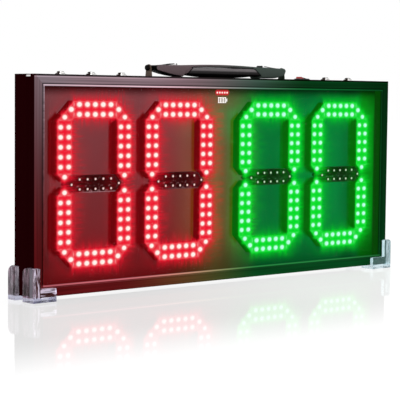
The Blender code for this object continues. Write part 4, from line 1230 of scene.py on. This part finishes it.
# Painted shade: the end face of each tip and the underside of the shell, behind its front face, are
# darkened as in shade.
outward = abs(grey_plastic.x)
end_face = outward.rise(TIP - 0.0020, TIP - 0.0012)
under_line = (outward - 0.0745).at_least(0.0) * 0.176 + 0.0006
underside = (grey_plastic.z - TOP - under_line).rise(0.0010, 0.0004)
behind_front = grey_plastic.y.rise(HANDLE_Y - SHELL_HALF + 0.0004, HANDLE_Y - SHELL_HALF + 0.0009)
shaded_part = end_face.at_least(underside) * behind_front
grey_plastic.set({"Base Color": grey_plastic.mix(shaded_part, shell_colour(grey_plastic), SHADE)})

light_plastic = Finish("light_grey_plastic", {"Roughness": 0.5, "Specular IOR Level": 0.02})
# The pad is light grey and glows a little with painted light; painted shade darkens its inner end and a
# thin line along its crest towards its outer end.
outward = abs(light_plastic.x)
crest = TOP + WEDGE_HIGH - (outward - WEDGE_START) * 0.13
edge_line = (light_plastic.z - crest).rise(-0.0012, -0.0008) * outward.rise(0.0838, 0.0846)
shaded_part = outward.rise(0.0812, 0.0806).at_least(edge_line)
light_plastic.set({"Base Color": light_plastic.mix(shaded_part, (0.72, 0.71, 0.71), SHADE)})
light_plastic.glow(light_plastic.mix(shaded_part, (0.30, 0.30, 0.30), (0.0, 0.0, 0.0)))
wedge_outline = rounded([
    (0.0790, 0.0150), (0.111, 0.0150), (0.111, 0.0154), (0.098, 0.0168, 0.002),
    (0.088, 0.0182, 0.002), (WEDGE_START, WEDGE_HIGH, 0.0006), (0.0790, 0.0186, 0.0006),
])

head_black = Finish("black_pin_head", {"Roughness": 0.5, "Specular IOR Level": 0.05})
head_grain = head_black.grain(600.0)
head_black.set({"Base Color": head_black.mix(head_grain, (0.002, 0.001, 0.001), (0.005, 0.003, 0.003))})
pin_profile = rounded(
    [
        (0, 0.1294), (0.0031, 0.1294, 0.0008), (PIN_HEAD, 0.1284, 0.0008),
        (PIN_HEAD, 0.1262, 0.0002), (PIN_SHANK, 0.1262), (PIN_SHANK, 0.109), (0, 0.109),
    ],
    closed=False,
)
for side, name in ((-1, "left"), (1, "right")):
    body = f"handle_end_{name}"
    show(surface(f"end_shell_{name}", shell_grid(side)), grey_plastic, body, [body])
    wedge = slab(wedge_outline * (side, 1) + (0, TOP), HANDLE_Y, 0.011, 0.0007)
    show(surface(f"end_wedge_{name}", wedge), light_plastic, body)
    pin = turned(pin_profile * (1, side), (0, HANDLE_Y, TOP + PIN_AXIS), "X", 32)
    show(surface(f"ear_pin_{name}", pin), head_black, body, [f"handle_pin_{name}"])

# Two ears of steel with a brown coat stand on feet inside the frame and reach up through slots in
# its top. The pins of the handle turn in their holes.

coated = Finish("brown_coated_steel", {"Metallic": 0.3, "Specular IOR Level": 0.2})
mottle = coated.grain(500.0)
# The coat is brown, and the light of the digits is painted into its colour: it turns dark green towards the
# right.
coat_in_digit_light = coated.mix(coated.x.rise(-0.1, 0.1), (0.120, 0.082, 0.062), (0.014, 0.034, 0.014))
coated.set({"Base Color": coated.light(mottle * 0.5 + 0.75, coat_in_digit_light), "Roughness": mottle * 0.2 + 0.35})
dress(coated, "handle_bracket_left", "handle_bracket_right")

# Clear guards sit on the bottom corners and are the feet of the board. Each is one moulded cup of
# thick clear plastic, pushed on, and its moulding left fine streaks. The light that the streaks catch
# is painted on as glow, and the tints and shade of the plastic are painted too.

GUARD_ROUND = 0.0016
GUARD_ROUND_STEPS = 4
DEEP_TINTS = ((0.26, 0.19, 0.24), (0.26, 0.38, 0.41))
LIGHT_TINTS = ((0.78, 0.75, 0.84), (0.66, 0.79, 0.83))
GROUND_TINTS = ((0.48, 0.48, 0.60), (0.66, 0.78, 0.83))
SIDE_TINT = (0.20, 0.05, 0.09)
SHINE = (0.52, 0.48, 0.60)
SIDE_VEIL = (1.0, 0.60, 0.80)
TEAL = (0.5, 1.0, 1.05)


def softened(node, name):
    """A copy of a CAD node's mesh with its triangles welded into whole faces."""
    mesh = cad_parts[node].data.copy()
    mesh.name = name
    mesh.materials.clear()
    shape = bmesh.new()
    shape.from_mesh(mesh)
    bmesh.ops.remove_doubles(shape, verts=shape.verts, dist=WELD)
    bmesh.ops.dissolve_limit(
        shape, angle_limit=radians(1.0), use_dissolve_boundaries=False, verts=shape.verts, edges=shape.edges
    )
    shape.to_mesh(mesh)
    shape.free()
    mesh.shade_smooth()
    mesh.set_sharp_from_angle(angle=SHARP_TURN)
    return mesh


clear = Finish("clear_moulded_plastic", {"Roughness": 0.06, "Transmission Weight": 1.0, "IOR": 1.25})
past_side = abs(clear.x) - RIGHT
foot_part = clear.z.rise(0.021, 0.018) * past_side.rise(-0.004, -0.006)
flow_up = clear.grain((420.0, 420.0, 60.0), 3.0)
flow_along = clear.grain((60.0, 420.0, 420.0), 3.0)
flow = flow_up * (1 - foot_part) + flow_along * foot_part
clear.bump(flow, 0.0004)

# Painted light and shade in the tint: violet on the left and teal on the right from the light of the
# digits, painted shade on the back guards, darker reddish streaks on the outer left face and a bluish band
# along the foot.
right_side = clear.x.rise(-0.1, 0.1)
left_side = 1 - right_side
on_back = clear.y.rise(BACK - 0.012, BACK - 0.0105)
low_down = clear.z.rise(0.041, 0.016)
outer_face = left_side * past_side.rise(0.0050, 0.0056)
back_shade = on_back * (left_side * (low_down * 0.16 + 0.58) + right_side * 0.40)
deep, pale, ground = (clear.mix(right_side, *tints) for tints in (DEEP_TINTS, LIGHT_TINTS, GROUND_TINTS))
tint = clear.light(1 - back_shade, clear.mix(flow.rise(0.38, 0.62), deep, pale))
side_streaks = outer_face * (1 - on_back) * (low_down * 0.6 + 0.3) * flow.rise(0.66, 0.48)
tint = clear.mix(side_streaks, tint, SIDE_TINT)
clear.set({"Base Color": clear.mix(clear.z.rise(0.0062, 0.0052), tint, ground)})

# Painted highlights as glow: streaks on the front lap, a strip at the front corner, a line along the top of
# the foot, a faint painted sheen on the outer side, and teal light on the right front.
on_front = clear.y.rise(FRONT - 0.0008, FRONT - 0.0014) * clear.z.rise(0.0050, 0.0065)
on_lap = on_front * left_side * past_side.rise(0.0052, 0.0040)
on_lap = on_lap * past_side.rise(-0.0046, -0.0036).at_least(foot_part)
foot_light = on_lap * foot_part * clear.z.band(0.0115, 0.0130, 0.0160, 0.0172)
front_edge = clear.y.rise(FRONT + 0.0022, FRONT + 0.0010)
corner_strip = left_side * front_edge * past_side.rise(0.0036, 0.0050)
side_veil = outer_face * clear.y.rise(FRONT + 0.0010, FRONT + 0.0022)
side_veil = side_veil * (flow.rise(0.44, 0.60) * 0.15 + 0.01) * (1 - low_down * 0.6)
shine = (on_lap * flow.rise(0.47, 0.60)).at_least(corner_strip * 0.2)
clear.glow(clear.sum(
    clear.light(shine.at_least(foot_light * flow.rise(0.3, 0.5)), SHINE),
    clear.light(side_veil, SIDE_VEIL),
    clear.light(on_front * right_side * (flow * 0.10 + 0.02), TEAL),
))
for place in ("front_left", "front_right", "back_left", "back_right"):
    node = f"corner_guard_{place}"
    mesh = softened(node, f"clear_guard_{place}")
    piece = show(mesh, clear, "board", [node])
    round_off = piece.modifiers.new("round_off", "BEVEL")
    round_off.width = GUARD_ROUND
    round_off.segments = GUARD_ROUND_STEPS
    round_off.limit_method = "ANGLE"
    round_off.angle_limit = radians(50.0)

# The floor of the studio is white, with a weak gloss that fades with the distance from the board.

FLOOR_HALF = 12.0
FLOOR_DROP = -0.0001

floor_finish = Finish("white_floor", {"Base Color": (0.2, 0.2, 0.2), "Roughness": 0.9})
floor_finish.set({"Specular IOR Level": 0.0})
floor_finish.glow((1.0, 1.0, 1.0), 0.97)
beyond = (abs(floor_finish.y) + FRONT).at_least(abs(floor_finish.x) - RIGHT)
gloss_share = beyond.rise(0.50, 0.20) * (floor_finish.x.rise(0.15, -0.25) * 0.08 + 0.245)
matt = Value(floor_finish, floor_finish.shader.outputs[0])
gloss = floor_finish.node("ShaderNodeBsdfGlossy", {}, {"Roughness": 0.03})
blend = floor_finish.node("ShaderNodeMixShader", {}, {0: gloss_share, 1: matt, 2: gloss})
floor_finish.feed(floor_finish.tree.nodes["Material Output"].inputs["Surface"], blend)
floor_mesh = bpy.data.meshes.new("floor")
floor_corners = [(x * FLOOR_HALF, y * FLOOR_HALF, 0) for x, y in ((-1, -1), (1, -1), (1, 1), (-1, 1))]
floor_mesh.from_pydata(floor_corners, [], [(0, 1, 2, 3)])
floor_mesh.materials.append(floor_finish.material)
floor = bpy.data.objects.new("floor", floor_mesh)
floor.location.z = FLOOR_DROP
bpy.context.scene.collection.objects.link(floor)

# White light comes from all round the horizon and is weak from above. Two softboxes hang over the
# board, one in front of it on the left and one a little behind it on the right.


def softbox(name, place, aim, size, power):
    """A square lamp at a place that looks at another."""
    lamp = bpy.data.lights.new(name, "AREA")
    lamp.size = size
    lamp.energy = power
    item = bpy.data.objects.new(name, lamp)
    item.location = place
    item.rotation_euler = (Vector(aim) - Vector(place)).to_track_quat("-Z", "Y").to_euler()
    bpy.context.scene.collection.objects.link(item)


world = bpy.data.worlds.new("studio")
world.use_nodes = True
sky = Nodes(world.node_tree, "Generated")
background = world.node_tree.nodes["Background"]
sky.feed(background.inputs["Color"], (1.0, 1.0, 1.0))
sky.feed(background.inputs["Strength"], 1.0 - sky.z.rise(0.25, 0.55) * 0.88)
bpy.context.scene.world = world
softbox("key_light", (-1.2, -1.0, 1.8), (0, 0, 0.15), 1.2, 18.0)
softbox("top_light", (0.4, 0.4, 2.2), (0, 0, 0.1), 1.6, 14.0)

# The camera stands in front of the board on its left, a little lower than its top, and looks
# slightly down. Its place was solved from the corners of the frame.

CAMERA_PLACE = (-1.3609, -1.52745, 0.2592)
CAMERA_TURN = radians(40.977)
CAMERA_TILT = radians(4.010)
CAMERA_ROLL = radians(0.568)
LENS = 130.8

camera_data = bpy.data.cameras.new("camera")
camera_data.lens = LENS
camera_data.sensor_width = 36.0
camera_data.clip_start = 0.05
camera = bpy.data.objects.new("camera", camera_data)
camera.matrix_world = (
    Matrix.Translation(CAMERA_PLACE)
    @ Matrix.Rotation(-CAMERA_TURN, 4, "Z")
    @ Matrix.Rotation(pi / 2 - CAMERA_TILT, 4, "X")
    @ Matrix.Rotation(CAMERA_ROLL, 4, "Z")
)
bpy.context.scene.collection.objects.link(camera)
bpy.context.scene.camera = camera
bpy.context.scene.view_settings.view_transform = "Standard"
